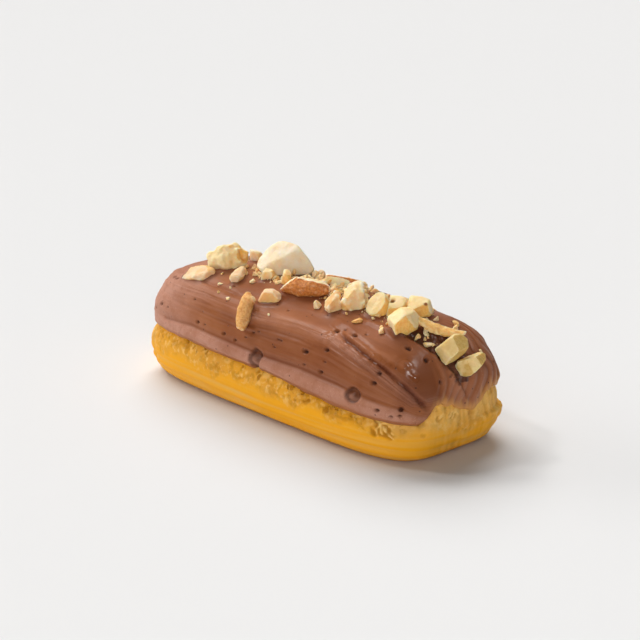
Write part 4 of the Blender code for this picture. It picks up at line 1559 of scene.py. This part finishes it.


# On the cubes, chunks, drum, flake and nose pieces the skin side faces down or towards +X, away from
# the lights: painted shade.
NUT_WORKS = {
    "nut_slice_left": NutWork(
        NutTone.PALE, 0.1, 0.55, 2.8, 5, cuts=((-0.3, -0.5, 0.8, 0.5), (0.9, -0.4, 0.1, 0.8)),
        growth=1.08,
    ),
    "nut_clump": NutWork(
        NutTone.YELLOW, 0.14, 1.0, 2.8, 5, 0.0, (0.75, 0.2, 0.35), skin_edge=0.7, growth=1.05
    ),
    "nut_pale_back": NutWork(NutTone.CREAM, lumps=0.3),
    "nut_wedge": NutWork(
        NutTone.CREAM, 0.07, 0.6, 4.5, 22, 0.0, (-0.62, 0.35, 0.70), skin_edge=0.72,
        cuts=((0.1, -0.48, 0.75, 0.62),), growth=1.08,
    ),
    "nut_chip_oval": NutWork(NutTone.PALE, 0.08, 0.35),
    "nut_cube_left": NutWork(NutTone.GOLDEN, 0.08, 0.4),
    "nut_chip_pink": NutWork(NutTone.GOLDEN, 0.06, 0.2),
    "nut_wedge_small": NutWork(NutTone.PALE, 0.08, 0.25, skin_and_shade_way=(0.2, -0.4, -0.9)),
    "nut_sliver_rice": NutWork(
        NutTone.TOASTED, 0.07, 0.35, 2.4, 7, 0.0, None, Spot((0.85, 0.85, 0.9), 1.0, 1.1)
    ),
    "almond_skinned": NutWork(
        NutTone.ALMOND, 0.14, 0.5, 2.8, 12, 0.4, (0.3, -0.75, 0.0), skin_edge=0.02,
        cuts=((-0.6, -0.3, 0.75, 0.66),), growth=1.1,
    ),
    "almond_slab": NutWork(NutTone.ALMOND, 0.08, 0.15, 2.4, 6, 0.15),
    "nut_chip_back": NutWork(NutTone.PALE, 0.08, 0.3),
    "nut_chunk_mid": NutWork(
        NutTone.GOLDEN, 0.16, 0.95, 2.6, 4, 0.0, (0.5, -0.5, -0.5),
        cuts=((-0.3, -0.5, 0.7, 0.55), (0.75, -0.45, 0.3, 0.62), (-0.8, -0.35, 0.1, 0.7)),
        growth=1.26,
    ),
    "nut_chunk_brown": NutWork(
        NutTone.TOASTED, 0.14, 0.7, 2.6, 5,
        cuts=((-0.3, -0.65, 0.6, 0.5), (0.75, -0.5, 0.25, 0.62)), growth=1.25,
    ),
    "nut_drum": NutWork(
        NutTone.YELLOW, 0.09, 0.35, 2.6, 5, 0.0, (0.65, -0.3, -0.6),
        cuts=((-0.04, -0.64, 0.5, 0.4),), growth=1.22,
    ),
    "nut_holed": NutWork(
        NutTone.YELLOW, 0.08, 0.3, 2.4, 5, 0.0, (0.5, -0.4, -0.6), Spot((0.42, 0.40, 1.0), 0.8, -1.2),
        cuts=((0.2, -0.4, 0.85, 0.6),), growth=1.3,
    ),
    "nut_cube_back": NutWork(
        NutTone.YELLOW, 0.08, 0.35, 3.0, 5, 0.0, (0.85, 0.1, -0.3), Spot((0.95, 0.5, 1.0), 0.7, -0.3),
        cuts=((0.1, -0.42, 0.8, 0.55), (0.8, 0.5, 0.3, 0.8)), growth=1.12,
    ),
    "nut_cube_front": NutWork(
        NutTone.YELLOW, 0.08, 0.32, 3.0, 5, 0.0, (0.8, -0.1, -0.4),
        cuts=((-0.2, -0.5, 0.68, 0.5), (0.9, 0.2, 0.35, 0.75)), growth=1.14,
    ),
    "nut_flake": NutWork(NutTone.GOLDEN, 0.14, 0.5, 2.4, 2, 0.0, (0.5, -0.6, 0.3), growth=1.26),
    "nut_cube_nose": NutWork(
        NutTone.DULL, 0.05, 0.15, 3.2, 4, 0.0, (0.8, 0.3, -0.3),
        cuts=((0.3, -0.69, 0.45, 0.62), (-0.55, -0.35, 0.7, 0.7)), growth=1.08,
    ),
    "nut_slab_nose": NutWork(
        NutTone.DULL, 0.05, 0.15, 3.2, 4, 0.0, (0.8, 0.2, -0.3),
        cuts=((-0.35, -0.1, 0.9, 0.72), (0.75, -0.6, 0.1, 0.7)), growth=1.08,
    ),
    "nut_far_cube": NutWork(NutTone.YELLOW, 0.05, 0.25, 3.2, 5),
    "nut_far_sliver": NutWork(NutTone.GOLDEN, 0.06, 0.25),
    "almond_far": NutWork(NutTone.ALMOND, 0.08, 0.2, 2.4, 8, 0.2, (0.05, 0.72, -0.3)),
    "nut_far_slice": NutWork(NutTone.PALE, 0.08, 0.35),
}


def worn_and_highlit_edges(mesh: Mesh) -> Array:
    """How sharply a mesh bends outward at each vertex, which is where it is paler: wear, and a
    painted edge highlight.
    """
    points, normals = read_points(mesh), read_normals(mesh)
    one, other = read_values(mesh.edges, "vertices", np.int64).T
    count = np.bincount(one, minlength=len(points)) + np.bincount(other, minlength=len(points))

    def spread(values: Array) -> Array:
        """The mean of the values at each vertex's neighbours."""
        total = np.zeros_like(values)
        np.add.at(total, one, values[other])
        np.add.at(total, other, values[one])
        return (total.T / count).T

    bend = np.sum((points - spread(points)) * normals, axis=1) / MM
    for _ in range(3):
        bend = spread(bend)
    return np.clip((bend - 0.008) / 0.03, 0, 1)


@dataclass
class NutPiece:
    """One larger piece of nut: its solid with rounded edges and broken faces."""

    node: str
    work: NutWork
    slot: str
    voxel: float = 0.24 * MM
    sink: float = 0.55 * MM
    soft_break: float = 0.22 * MM
    flat_faces: int = 3

    def solid(self) -> bmesh.types.BMesh:
        """The node's own mesh, with its loose triangles joined."""
        mesh = bmesh.new()
        mesh.from_mesh(frame["nodes"][self.node].data)
        bmesh.ops.remove_doubles(mesh, verts=mesh.verts[:], dist=0.002 * MM)
        return mesh

    def skin_faces(self, mesh: bmesh.types.BMesh) -> Array:
        """Which faces are the nut's natural outside: those that lie in no flat cut.

        Args:
            mesh: The joined solid.

        Returns:
            1 for each face of the outside, and 0 for each face of a cut.
        """
        facing = np.array([face.normal for face in mesh.faces])
        middle = np.array([face.calc_center_median() for face in mesh.faces])
        level = np.sum(facing * middle, axis=1)
        alike = (facing @ facing.T > 0.9995) & (np.abs(level[:, None] - level) < 0.03 * MM)
        return (alike.sum(axis=1) < self.flat_faces).astype(float)

    def rounded(self, mesh: bmesh.types.BMesh) -> Object:
        """The solid as an object with an even fine mesh and worn edges."""
        coarse = bpy.data.meshes.new(self.node)
        mesh.to_mesh(coarse)
        piece = new_object(f"{self.node}_piece", coarse)
        remesh = piece.modifiers.new("even", "REMESH")
        remesh.mode = "VOXEL"
        remesh.voxel_size = self.voxel
        worn = piece.modifiers.new("worn", "SMOOTH")
        worn.factor = 0.5
        worn.iterations = self.work.rounding
        bake_modifiers(piece)
        return piece

    def build(self) -> Object:
        """Make the piece.

        Returns:
            The piece, sunk a little into the icing.
        """
        mesh = self.solid()
        skin = self.skin_faces(mesh)
        tree = BVHTree.FromBMesh(mesh)
        piece = self.rounded(mesh)
        mesh.free()
        work = self.work
        broken = self.break_faces(piece.data)
        points, normals = read_points(piece.data), read_normals(piece.data)
        centre = points.mean(axis=0)
        seed = sum(map(ord, self.node))
        # A skin side that faces away from the lights is painted shade.
        if work.skin_and_shade_way is None:
            shares = np.array([skin[tree.find_nearest(Vector(point))[2]] for point in points])
        else:
            facing = normals @ work.skin_and_shade_way - work.skin_edge
            shares = smooth(0.5 + 6 * (facing + 0.25 * grain_noise(points, 1.6 * MM, seed + 7)))
        shares = shares * (1 - broken)
        grown = np.linalg.svd(points - centre, full_matrices=False)[2][0]
        stretched = points - np.outer((points - centre) @ grown, grown) * 0.85
        relief = work.lumps * rough_noise(points, work.lump_size * MM, 2, seed)
        relief += work.grain * rough_noise(points, 0.8 * MM, 2, seed + 3)
        relief -= work.wrinkles * shares * np.abs(rough_noise(stretched, 1.3 * MM, 2, seed + 5))
        hollow_shade = np.zeros(len(points))
        if work.spot:
            low, high = points.min(axis=0), points.max(axis=0)
            place = low + (high - low) * work.spot.place
            nearest = points[np.argmin(lengths(points - place))]
            spot = bell(lengths(points - nearest), work.spot.radius * MM)
            relief += work.spot.height * spot
            # Painted shade in the spot's hollow.
            hollow_shade = fade_in(spot, 0.3, 0.4) * (work.spot.height < 0)
        up = self.upward(centre)
        write_points(piece.data, points + normals * relief[:, None] * MM - up * self.sink)
        piece.data.shade_smooth()
        # The skin layer: real skin, and painted shade on sides turned from the lights.
        add_layer(piece.data, "skin", shares)
        add_layer(piece.data, "hollow_shade", hollow_shade)
        # Pale edges: wear, and a painted edge highlight.
        add_layer(piece.data, "worn", worn_and_highlit_edges(piece.data) * (1 - 0.6 * shares))
        return piece

    def break_faces(self, mesh: Mesh) -> Array:
        """Press the work's flat breaks into a mesh.

        Args:
            mesh: The piece's mesh, which is changed.

        Returns:
            1 at each vertex on a break, and 0 elsewhere.
        """
        points = read_points(mesh)
        centre = points.mean(axis=0)
        points = centre + (points - centre) * self.work.growth
        broken = np.zeros(len(points))
        for *way, keep in self.work.cuts:
            facing = np.array(way) / np.linalg.norm(way)
            reach = (points - centre) @ facing
            over = reach - keep * reach.max()
            over_softly = self.soft_break * np.logaddexp(0, over / self.soft_break)
            points -= over_softly[:, None] * facing
            broken = np.where(over > 0, 1.0, broken)
        write_points(mesh, points)
        return broken

    @staticmethod
    def upward(centre: Array) -> Array:
        """The way out of the icing under a piece."""
        out = np.array([0.0, centre[1], max(centre[2] - 16 * MM, 2 * MM)])
        return out / np.linalg.norm(out)

    def dress(self, piece: Object, finishes: dict[NutTone, Material]) -> None:
        """Give the piece its finish and its place in the frame."""
        piece.data.materials.append(finishes[self.work.tone])
        settle(piece, self.slot, self.node)


def tree_of(*pieces: Object) -> BVHTree:
    """A search tree of some pieces' surfaces together."""
    whole = bmesh.new()
    for piece in pieces:
        whole.from_mesh(piece.data)
    tree = BVHTree.FromBMesh(whole)
    whole.free()
    return tree


def chopped_grain(name: str, fineness: int, cuts: int, seed: int) -> Object:
    """A chopped grain about 1 across: a lumpy ball with flat faces pressed into it.

    Args:
        name: The grain's name.
        fineness: The ball's subdivisions.
        cuts: The number of flat faces.
        seed: Picks the shape.

    Returns:
        The grain, in no scene.
    """
    draw = np.random.default_rng(seed)
    mesh = bmesh.new()
    bmesh.ops.create_icosphere(mesh, subdivisions=fineness, radius=0.5)
    data = bpy.data.meshes.new(name)
    mesh.to_mesh(data)
    mesh.free()
    points = read_points(data)
    points *= 1 + 0.34 * grain_noise(points, 0.45, seed)[:, None]
    skin = np.ones(len(points))
    for _ in range(cuts):
        facing = draw.normal(size=3)
        facing /= np.linalg.norm(facing)
        over = np.maximum(points @ facing - draw.uniform(0.17, 0.34), 0)
        points -= over[:, None] * facing
        skin = np.where(over > 0, 0.0, skin)
    write_points(data, points)
    data.shade_smooth()
    add_layer(data, "skin", skin * draw.uniform(0.1, 0.9))
    add_layer(data, "hollow_shade", skin * 0)
    return bpy.data.objects.new(name, data)


class ScatterTree(TreeBuilder):
    """A geometry tree that puts grains on points and ends in one plain mesh."""

    def __init__(self, name: str, sizes: dict[str, str]) -> None:
        """Make the tree with its named inputs.

        Args:
            name: The tree's name.
            sizes: The type of each named input.
        """
        super().__init__(bpy.data.node_groups.new(name, "GeometryNodeTree"))
        faces = self.tree.interface
        faces.new_socket("Geometry", in_out="OUTPUT", socket_type="NodeSocketGeometry")
        faces.new_socket("Geometry", in_out="INPUT", socket_type="NodeSocketGeometry")
        sizes = {"Grains": "NodeSocketCollection", "Material": "NodeSocketMaterial"} | sizes
        self.keys = {
            title: faces.new_socket(title, in_out="INPUT", socket_type=kind).identifier
            for title, kind in sizes.items()
        }
        self.given = self.add("NodeGroupInput")

    def attribute(self, name: str, kind: str) -> Socket:
        """A named value of the points."""
        node = self.add("GeometryNodeInputNamedAttribute", {"Name": name}, data_type=kind)
        return self.out(node, "Attribute")

    def random(self, kind: str, low: object, high: object, seed: int) -> Socket:
        """A random value for each point; its kind is FLOAT or FLOAT_VECTOR."""
        ends = {"Min": low, "Max": high, "Seed": seed}
        return self.out(self.add("FunctionNodeRandomValue", ends, data_type=kind), "Value")

    def grow(self, points: Socket, turn: Socket, size: Socket) -> None:
        """Put a grain on each point, and end the tree.

        Args:
            points: The points.
            turn: Each grain's turn.
            size: Each grain's size.
        """
        given = self.given.outputs
        inputs = {"Collection": given["Grains"], "Separate Children": True, "Reset Children": True}
        grains = self.add("GeometryNodeCollectionInfo", inputs).outputs["Instances"]
        inputs = {"Points": points, "Instance": grains, "Rotation": turn, "Scale": size}
        placed = self.add("GeometryNodeInstanceOnPoints", inputs | {"Pick Instance": True})
        tint = self.random("FLOAT", 0.0, 1.0, 9)
        inputs = {"Geometry": placed.outputs["Instances"], "Name": "tint", "Value": tint}
        tinted = self.add("GeometryNodeStoreNamedAttribute", inputs, domain="INSTANCE")
        real = self.add("GeometryNodeRealizeInstances", {"Geometry": tinted.outputs["Geometry"]})
        inputs = {"Geometry": real.outputs["Geometry"], "Material": given["Material"]}
        coated = self.add("GeometryNodeSetMaterial", inputs)
        self.add("NodeGroupOutput", {"Geometry": coated.outputs["Geometry"]})

    def run(self, name: str, carrier: Mesh, values: dict[str, object]) -> Object:
        """Run the tree on a mesh.

        Args:
            name: The new piece's name.
            carrier: The mesh that the grains go on.
            values: A value for each named input.

        Returns:
            The grains, as a plain mesh.
        """
        piece = new_object(name, carrier)
        modifier = piece.modifiers.new(name, "NODES")
        modifier.node_group = self.tree
        for title, value in values.items():
            modifier[self.keys[title]] = value
        bake_modifiers(piece)
        return piece


@dataclass
class Topping:
    """The small bits fused to the icing, and the crumbs between the nuts."""

    icing: RingMesh
    near_nut: Array
    bits: tuple[Row, ...] = (
        (-19.7, -5.4, 2.3, 2.0, 1.9, 20), (13.3, -11.1, 3.2, 3.0, 3.0, 25),
        (29.2, -11.5, 3.6, 2.0, 1.8, 40), (38.9, -11.9, 4.2, 1.9, 1.9, 66),
        (-3.4, -1.2, 5.2, 2.2, 4.2, 10), (20.6, -0.6, 2.6, 2.4, 2.4, 10),
        (14.9, 8.6, 3.4, 2.2, 2.0, 30), (22.6, 6.2, 2.0, 2.2, 2.9, 50),
        (46.9, -6.8, 2.4, 1.9, 1.8, 60), (49.7, -5.7, 3.2, 2.1, 1.9, 30),
        (-26.1, -0.5, 2.0, 1.8, 1.7, 40), (-16.7, -9.2, 2.2, 1.9, 1.8, 70),
        (10.4, 2.2, 3.0, 2.2, 2.0, 50), (-10.9, -5.4, 2.2, 1.8, 1.7, 40),
        (-7.5, 6.3, 3.0, 2.4, 2.8, 80), (-5.0, 7.6, 3.4, 2.0, 3.2, -30),
        (-2.2, 2.6, 3.2, 2.6, 2.4, 20), (2.4, 0.4, 3.6, 2.6, 2.4, 60),
        (5.8, 2.2, 3.0, 2.4, 2.0, -20), (19.4, 6.8, 2.4, 2.0, 2.0, 15),
        (27.2, 4.4, 3.0, 2.4, 2.6, 70), (46.6, 8.0, 3.0, 2.2, 2.0, 5),
        (-26.4, 9.6, 2.8, 2.4, 2.0, 55), (-12.4, 13.0, 3.0, 2.2, 1.9, 70),
        (-29.8, 14.8, 2.6, 2.0, 1.8, 30), (20.6, 14.6, 2.8, 2.2, 1.9, 95),
        (2.6, 16.6, 2.6, 2.2, 2.0, 5),
    )
    lone_crumbs: tuple[Row, ...] = (
        (-24.9, -14.3, 2.2, 1.3, 1.0, 40), (-21.7, -17.4, 1.4, 1.1, 0.9, 30),
        (-16.6, -18.1, 1.8, 1.2, 1.0, -20), (-29.4, -9.9, 1.8, 1.4, 1.0, 50),
        (1.7, -18.7, 1.6, 1.2, 0.9, 15), (6.1, -0.8, 1.8, 1.6, 1.6, 0),
        (-19.8, -14.5, 1.1, 0.9, 0.8, 0), (53.7, -0.9, 1.6, 1.3, 1.0, 40),
        (54.2, 9.7, 1.7, 1.2, 1.0, 75), (50.3, -4.2, 1.6, 1.3, 1.1, 0),
        (31.2, -7.5, 1.7, 1.2, 1.0, 35), (37.6, -10.8, 1.4, 1.1, 0.9, 80),
        (25.3, -4.5, 2.0, 1.6, 1.4, 20), (48.2, -5.1, 1.9, 1.4, 1.2, 60),
        (23.8, -10.1, 1.4, 1.1, 0.9, 0), (46.4, -3.0, 4.6, 2.2, 1.6, 120),
        (47.4, -4.0, 2.6, 1.5, 1.1, 100), (31.7, -6.2, 1.7, 1.3, 1.1, 20),
        (35.5, -5.4, 2.0, 1.5, 1.4, 50), (22.5, -1.8, 2.6, 1.9, 2.0, 35),
        (9.5, 0.6, 2.8, 2.0, 2.2, -30), (10.5, -5.9, 2.0, 1.5, 1.4, 10),
        (-1.5, 8.6, 2.8, 2.0, 2.6, 75), (3.5, 9.0, 2.6, 2.0, 2.6, 20),
        (-11.4, 6.8, 2.6, 2.0, 2.2, 45), (-3.6, 2.0, 2.4, 1.8, 2.6, -50),
        (13.3, 6.6, 2.6, 2.0, 2.4, 65), (12.4, 9.9, 2.4, 1.9, 2.6, 5),
        (-18.9, 0.2, 2.4, 1.8, 1.6, 30), (-27.5, -2.4, 2.0, 1.4, 1.2, 15),
        (-27.6, 3.9, 2.4, 1.8, 1.8, 80), (43.2, 4.1, 2.4, 1.8, 1.6, 25),
        (47.6, 6.8, 2.4, 1.7, 1.8, 60),
    )
    heap: tuple[Span, Span] = ((-17.0, 4.0), (31.0, 2.5))
    heap_count: int = 64
    bit_sink: float = 0.7 * MM
    crumb_size: Span = (0.4 * MM, 2.6 * MM)
    crumb_skew: float = 2.6
    crumb_density: float = 1150000.0
    band_level: float = 29 * MM
    least_share: float = 0.02

    def standing_points(self, rows: tuple[Row, ...], sink: float) -> Mesh:
        """Points on the icing, each with the turn and the size of what stands there.

        Args:
            rows: Rows of (x, y, length, width, height, yaw), in mm and degrees.
            sink: How deep each piece sits, at most a third of its height.

        Returns:
            The points as a mesh.
        """
        tree = tree_of(self.icing.object)
        places, turns, sizes = [], [], []
        for x, y, length, width, height, yaw in rows:
            start = Vector((x * MM, y * MM, 60 * MM))
            place, facing, _, _ = tree.ray_cast(start, Vector((0, 0, -1)))
            turn = facing.to_track_quat("Z", "Y").to_matrix().to_4x4()
            turn = turn @ Matrix.Rotation(math.radians(yaw), 4, "Z")
            places.append(place + facing * (height * MM / 2 - min(sink, height * MM / 3)))
            turns.append(turn.to_euler())
            sizes.append((length * MM, width * MM, height * MM))
        mesh = bpy.data.meshes.new("standing_points")
        mesh.from_pydata(places, [], [])
        add_layer(mesh, "turn", np.array(turns))
        add_layer(mesh, "size", np.array(sizes))
        return mesh

    def heaped_rows(self) -> tuple[Row, ...]:
        """Rows for the chopped bits that lie heaped between the larger nuts."""
        draw = np.random.default_rng(17)
        start, end = np.array(self.heap)
        rows = []
        for _ in range(self.heap_count):
            x, y = start + draw.uniform(0, 1) * (end - start) + draw.normal(0, (1.5, 3.0))
            length = draw.uniform(1.5, 3.3)
            width, height = length * draw.uniform((0.5, 0.45), (0.85, 1.0))
            rows.append((x, y, length, width, height, draw.uniform(0, 180)))
        return tuple(rows)

    @staticmethod
    def grains(name: str, fineness: int, count: int, seed: int) -> bpy.types.Collection:
        """Some chopped grains in a collection of their own."""
        found = bpy.data.collections.new(name)
        for number in range(count):
            found.objects.link(chopped_grain(f"{name}_{number}", fineness, 7, seed + number))
        return found

    def build_bits(self, material: Material) -> Object:
        """The bits that are fused to the icing's solid, and the crumbs that lie apart.

        Args:
            material: Their finish.

        Returns:
            The bits.
        """
        tree = ScatterTree("stuck_bits", {})
        turn, size = (tree.attribute(name, "FLOAT_VECTOR") for name in ("turn", "size"))
        tree.grow(tree.given.outputs["Geometry"], turn, size)
        rows = self.bits + self.lone_crumbs + self.heaped_rows()
        points = self.standing_points(rows, self.bit_sink)
        grains = self.grains("bit_grain", 3, 9, 300)
        return tree.run("nut_bits", points, {"Grains": grains, "Material": material})

    def band(self) -> Mesh:
        """The icing's top as a mesh, with the share of crumbs at each vertex."""
        source = self.icing.object.data
        points = read_points(source)
        x, y, level = points.T
        share = bell(self.near_nut, 2.6 * MM) * fade_in(level, self.band_level, 3 * MM)
        share *= fade_out(np.abs(y + 0.08 * x), 15 * MM, 5 * MM)
        share *= 0.25 + 0.75 * smooth((x + 30 * MM) / (20 * MM))
        share *= 1 + 0.8 * bell(x - 14 * MM, 22 * MM)
        share *= smooth((y + 8.5 * MM) / (3.5 * MM)) * (1 - 0.85 * fade_in(x, 38 * MM, 5 * MM))
        share *= 0.3 + 0.9 * smooth(0.5 + Pattern.CRUMB_PATCHES.at(points))
        share *= self.near_nut > 0.1 * MM
        faces = read_values(source.polygons, "vertices", np.int64)
        upward = read_values(source.polygons, "normal")[:, 2] > 0
        faces = faces[upward & (share[faces].max(axis=1) > self.least_share)]
        kept, faces = np.unique(faces, return_inverse=True)
        mesh = bpy.data.meshes.new("crumb_band")
        mesh.from_pydata(points[kept].tolist(), [], faces.reshape(-1, 4).tolist())
        add_layer(mesh, "share", share[kept])
        return mesh

    def build_crumbs(self, material: Material) -> Object:
        """The crumbs that lie between the nuts.

        Args:
            material: Their finish.

        Returns:
            The crumbs.
        """
        sizes = {"Density": "NodeSocketFloat", "Smallest": "NodeSocketFloat"}
        sizes |= {"Largest": "NodeSocketFloat", "Seed": "NodeSocketInt"}
        tree = ScatterTree("scattered_crumbs", sizes)
        given = tree.given.outputs
        density = tree.times(tree.attribute("share", "FLOAT"), given["Density"])
        spread = {"Mesh": given["Geometry"], "Density": density, "Seed": given["Seed"]}
        spots = tree.add("GeometryNodeDistributePointsOnFaces", spread)
        full_turn = (2 * math.pi,) * 3
        turn = tree.random("FLOAT_VECTOR", (0.0, 0.0, 0.0), full_turn, 2)
        uneven = tree.random("FLOAT_VECTOR", (0.7, 0.6, 0.5), (1.4, 1.0, 0.9), 3)
        size = tree.add("FunctionNodeRandomValue", {"Seed": 4}, data_type="FLOAT")
        power = {0: tree.out(size, "Value"), 1: self.crumb_skew}
        skewed = tree.add("ShaderNodeMath", power, operation="POWER").outputs[0]
        ends = {"Value": skewed, "To Min": given["Smallest"], "To Max": given["Largest"]}
        length = tree.add("ShaderNodeMapRange", ends).outputs["Result"]
        scale = tree.add("ShaderNodeVectorMath", {0: uneven, "Scale": length}, operation="SCALE")
        tree.grow(spots.outputs["Points"], turn, scale.outputs["Vector"])
        values = {"Grains": self.grains("crumb_grain", 2, 5, 400), "Material": material}
        values |= {"Density": self.crumb_density, "Seed": 11}
        values["Smallest"], values["Largest"] = self.crumb_size
        return tree.run("nut_crumbs", self.band(), values)

    def dress(self, bits: Object, crumbs: Object) -> None:
        """Give the bits and the crumbs their places in the frame."""
        settle(bits, "golden_nut", "chocolate_icing")
        settle(crumbs, "pale_nut")


@dataclass(frozen=True)
class SoftLight:
    """A wide distant light: the way to it, how wide it looks in degrees and its strength.

    It may glint in what is wet, and may light what is matt.
    """

    name: str
    way: Place
    spread: float
    strength: float
    colour: Colour
    glints: bool = True
    lights_matt: bool = True

    def build(self) -> None:
        """Make the light."""
        data = bpy.data.lights.new(self.name, "SUN")
        data.angle = math.radians(self.spread)
        data.energy = self.strength
        data.color = self.colour
        light = new_object(self.name, data)
        light.location = self.way
        light.visible_glossy = self.glints
        light.visible_diffuse = self.lights_matt
        light.rotation_euler = Vector(self.way).to_track_quat("Z", "Y").to_euler()


@dataclass
class Studio:
    """A pale floor, soft lights from all sides and the photo's camera."""

    floor_half: float = 4.0
    floor_colour: Colour = (0.74, 0.74, 0.745)
    sky: Colour = (1.0, 1.0, 1.0)
    sky_strength: float = 0.08
    lights: tuple[SoftLight, ...] = (
        SoftLight("key", (-0.54, 0.38, 0.75), 42.0, 2.58, (1.0, 0.99, 0.97), False),
        SoftLight("shine", (-0.62, -0.05, 0.78), 14.0, 0.7, (1.0, 0.99, 0.97)),
        SoftLight("window", (-0.50, -0.36, 0.78), 8.0, 0.5, (1.0, 1.0, 1.0)),
        SoftLight("spark", (0.52, 0.03, 0.82), 8.0, 0.9, (1.0, 1.0, 1.0), True, False),
        SoftLight("fill", (0.62, -0.75, 0.21), 50.0, 1.5, (1.0, 0.98, 0.95), False),
        SoftLight("side", (-0.90, -0.38, 0.20), 40.0, 1.25, (1.0, 0.99, 0.97), False),
    )
    camera_place: Place = (0.34183974, -0.31011150, 0.17161774)
    camera_aim: Place = (0.0, 0.0, 0.0153695)
    lens: float = 96.06
    shift: Span = (0.00737, 0.0459)

    def build(self) -> None:
        """Make the floor, the lights and the camera."""
        self.build_floor()
        self.build_lights()
        self.build_camera()

    def build_floor(self) -> None:
        """Make the floor, which isn't part of the eclair."""
        half = self.floor_half
        mesh = bpy.data.meshes.new("floor")
        corners = [(-half, -half, 0), (half, -half, 0), (half, half, 0), (-half, half, 0)]
        mesh.from_pydata(corners, [], [(0, 1, 2, 3)])
        floor = new_object("floor", mesh)
        tree = FinishTree("pale_floor", {"Specular IOR Level": 0.15})
        even = tree.noise(3.0, 1.0)
        tone = tree.mix(tree.fit(even, 0.3, 0.7), self.floor_colour, self.floor_colour)
        mesh.materials.append(tree.finish(tone, tree.fit(even, 0.0, 1.0, 0.8, 0.9), ()))

    def build_lights(self) -> None:
        """Make the sky and the lights."""
        world = bpy.data.worlds.new("studio")
        world.use_nodes = True
        background = world.node_tree.nodes["Background"]
        background.inputs["Color"].default_value = (*self.sky, 1.0)
        background.inputs["Strength"].default_value = self.sky_strength
        bpy.context.scene.world = world
        for light in self.lights:
            light.build()

    def build_camera(self) -> None:
        """Put the camera at the photo's view."""
        data = bpy.data.cameras.new("photo_view")
        data.lens = self.lens
        data.sensor_width = 36.0
        data.shift_x, data.shift_y = self.shift
        data.clip_start = 0.01
        camera = new_object("photo_view", data)
        camera.location = self.camera_place
        aim = Vector(self.camera_aim) - Vector(self.camera_place)
        camera.rotation_euler = aim.to_track_quat("-Z", "Y").to_euler()
        bpy.context.scene.camera = camera
        bpy.context.scene.view_settings.view_transform = "Standard"


def main() -> None:
    """Build the eclair from its nuts down to its shell, and then the studio."""
    logging.basicConfig(level=logging.INFO, format="%(name)s: %(message)s")
    low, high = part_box("choux_shell")
    cover = IcingSpread.thickness + ChouxShell.gap
    form = EclairForm(high.x - low.x, high.y - low.y, high.z + cover)

    slots = {part["node"]: part["material_slot"] for part in frame["record"]["subparts"]}
    finishes = {tone: tone.value.material() for tone in NutTone}
    nuts = []
    for node, work in NUT_WORKS.items():
        nut = NutPiece(node, work, slots[node])
        nuts.append(nut.build())
        nut.dress(nuts[-1], finishes)

    spread = IcingSpread(form, tree_of(*nuts))
    icing = spread.build()
    spread.dress(icing)

    shell = ChouxShell(form, spread)
    shell.dress(shell.build())

    topping = Topping(icing, spread.near_nut)
    bits = topping.build_bits(finishes[NutTone.CRUMB])
    crumbs = topping.build_crumbs(finishes[NutTone.CRUMB])
    topping.dress(bits, crumbs)

    Studio().build()


if __name__ == "__main__":
    main()
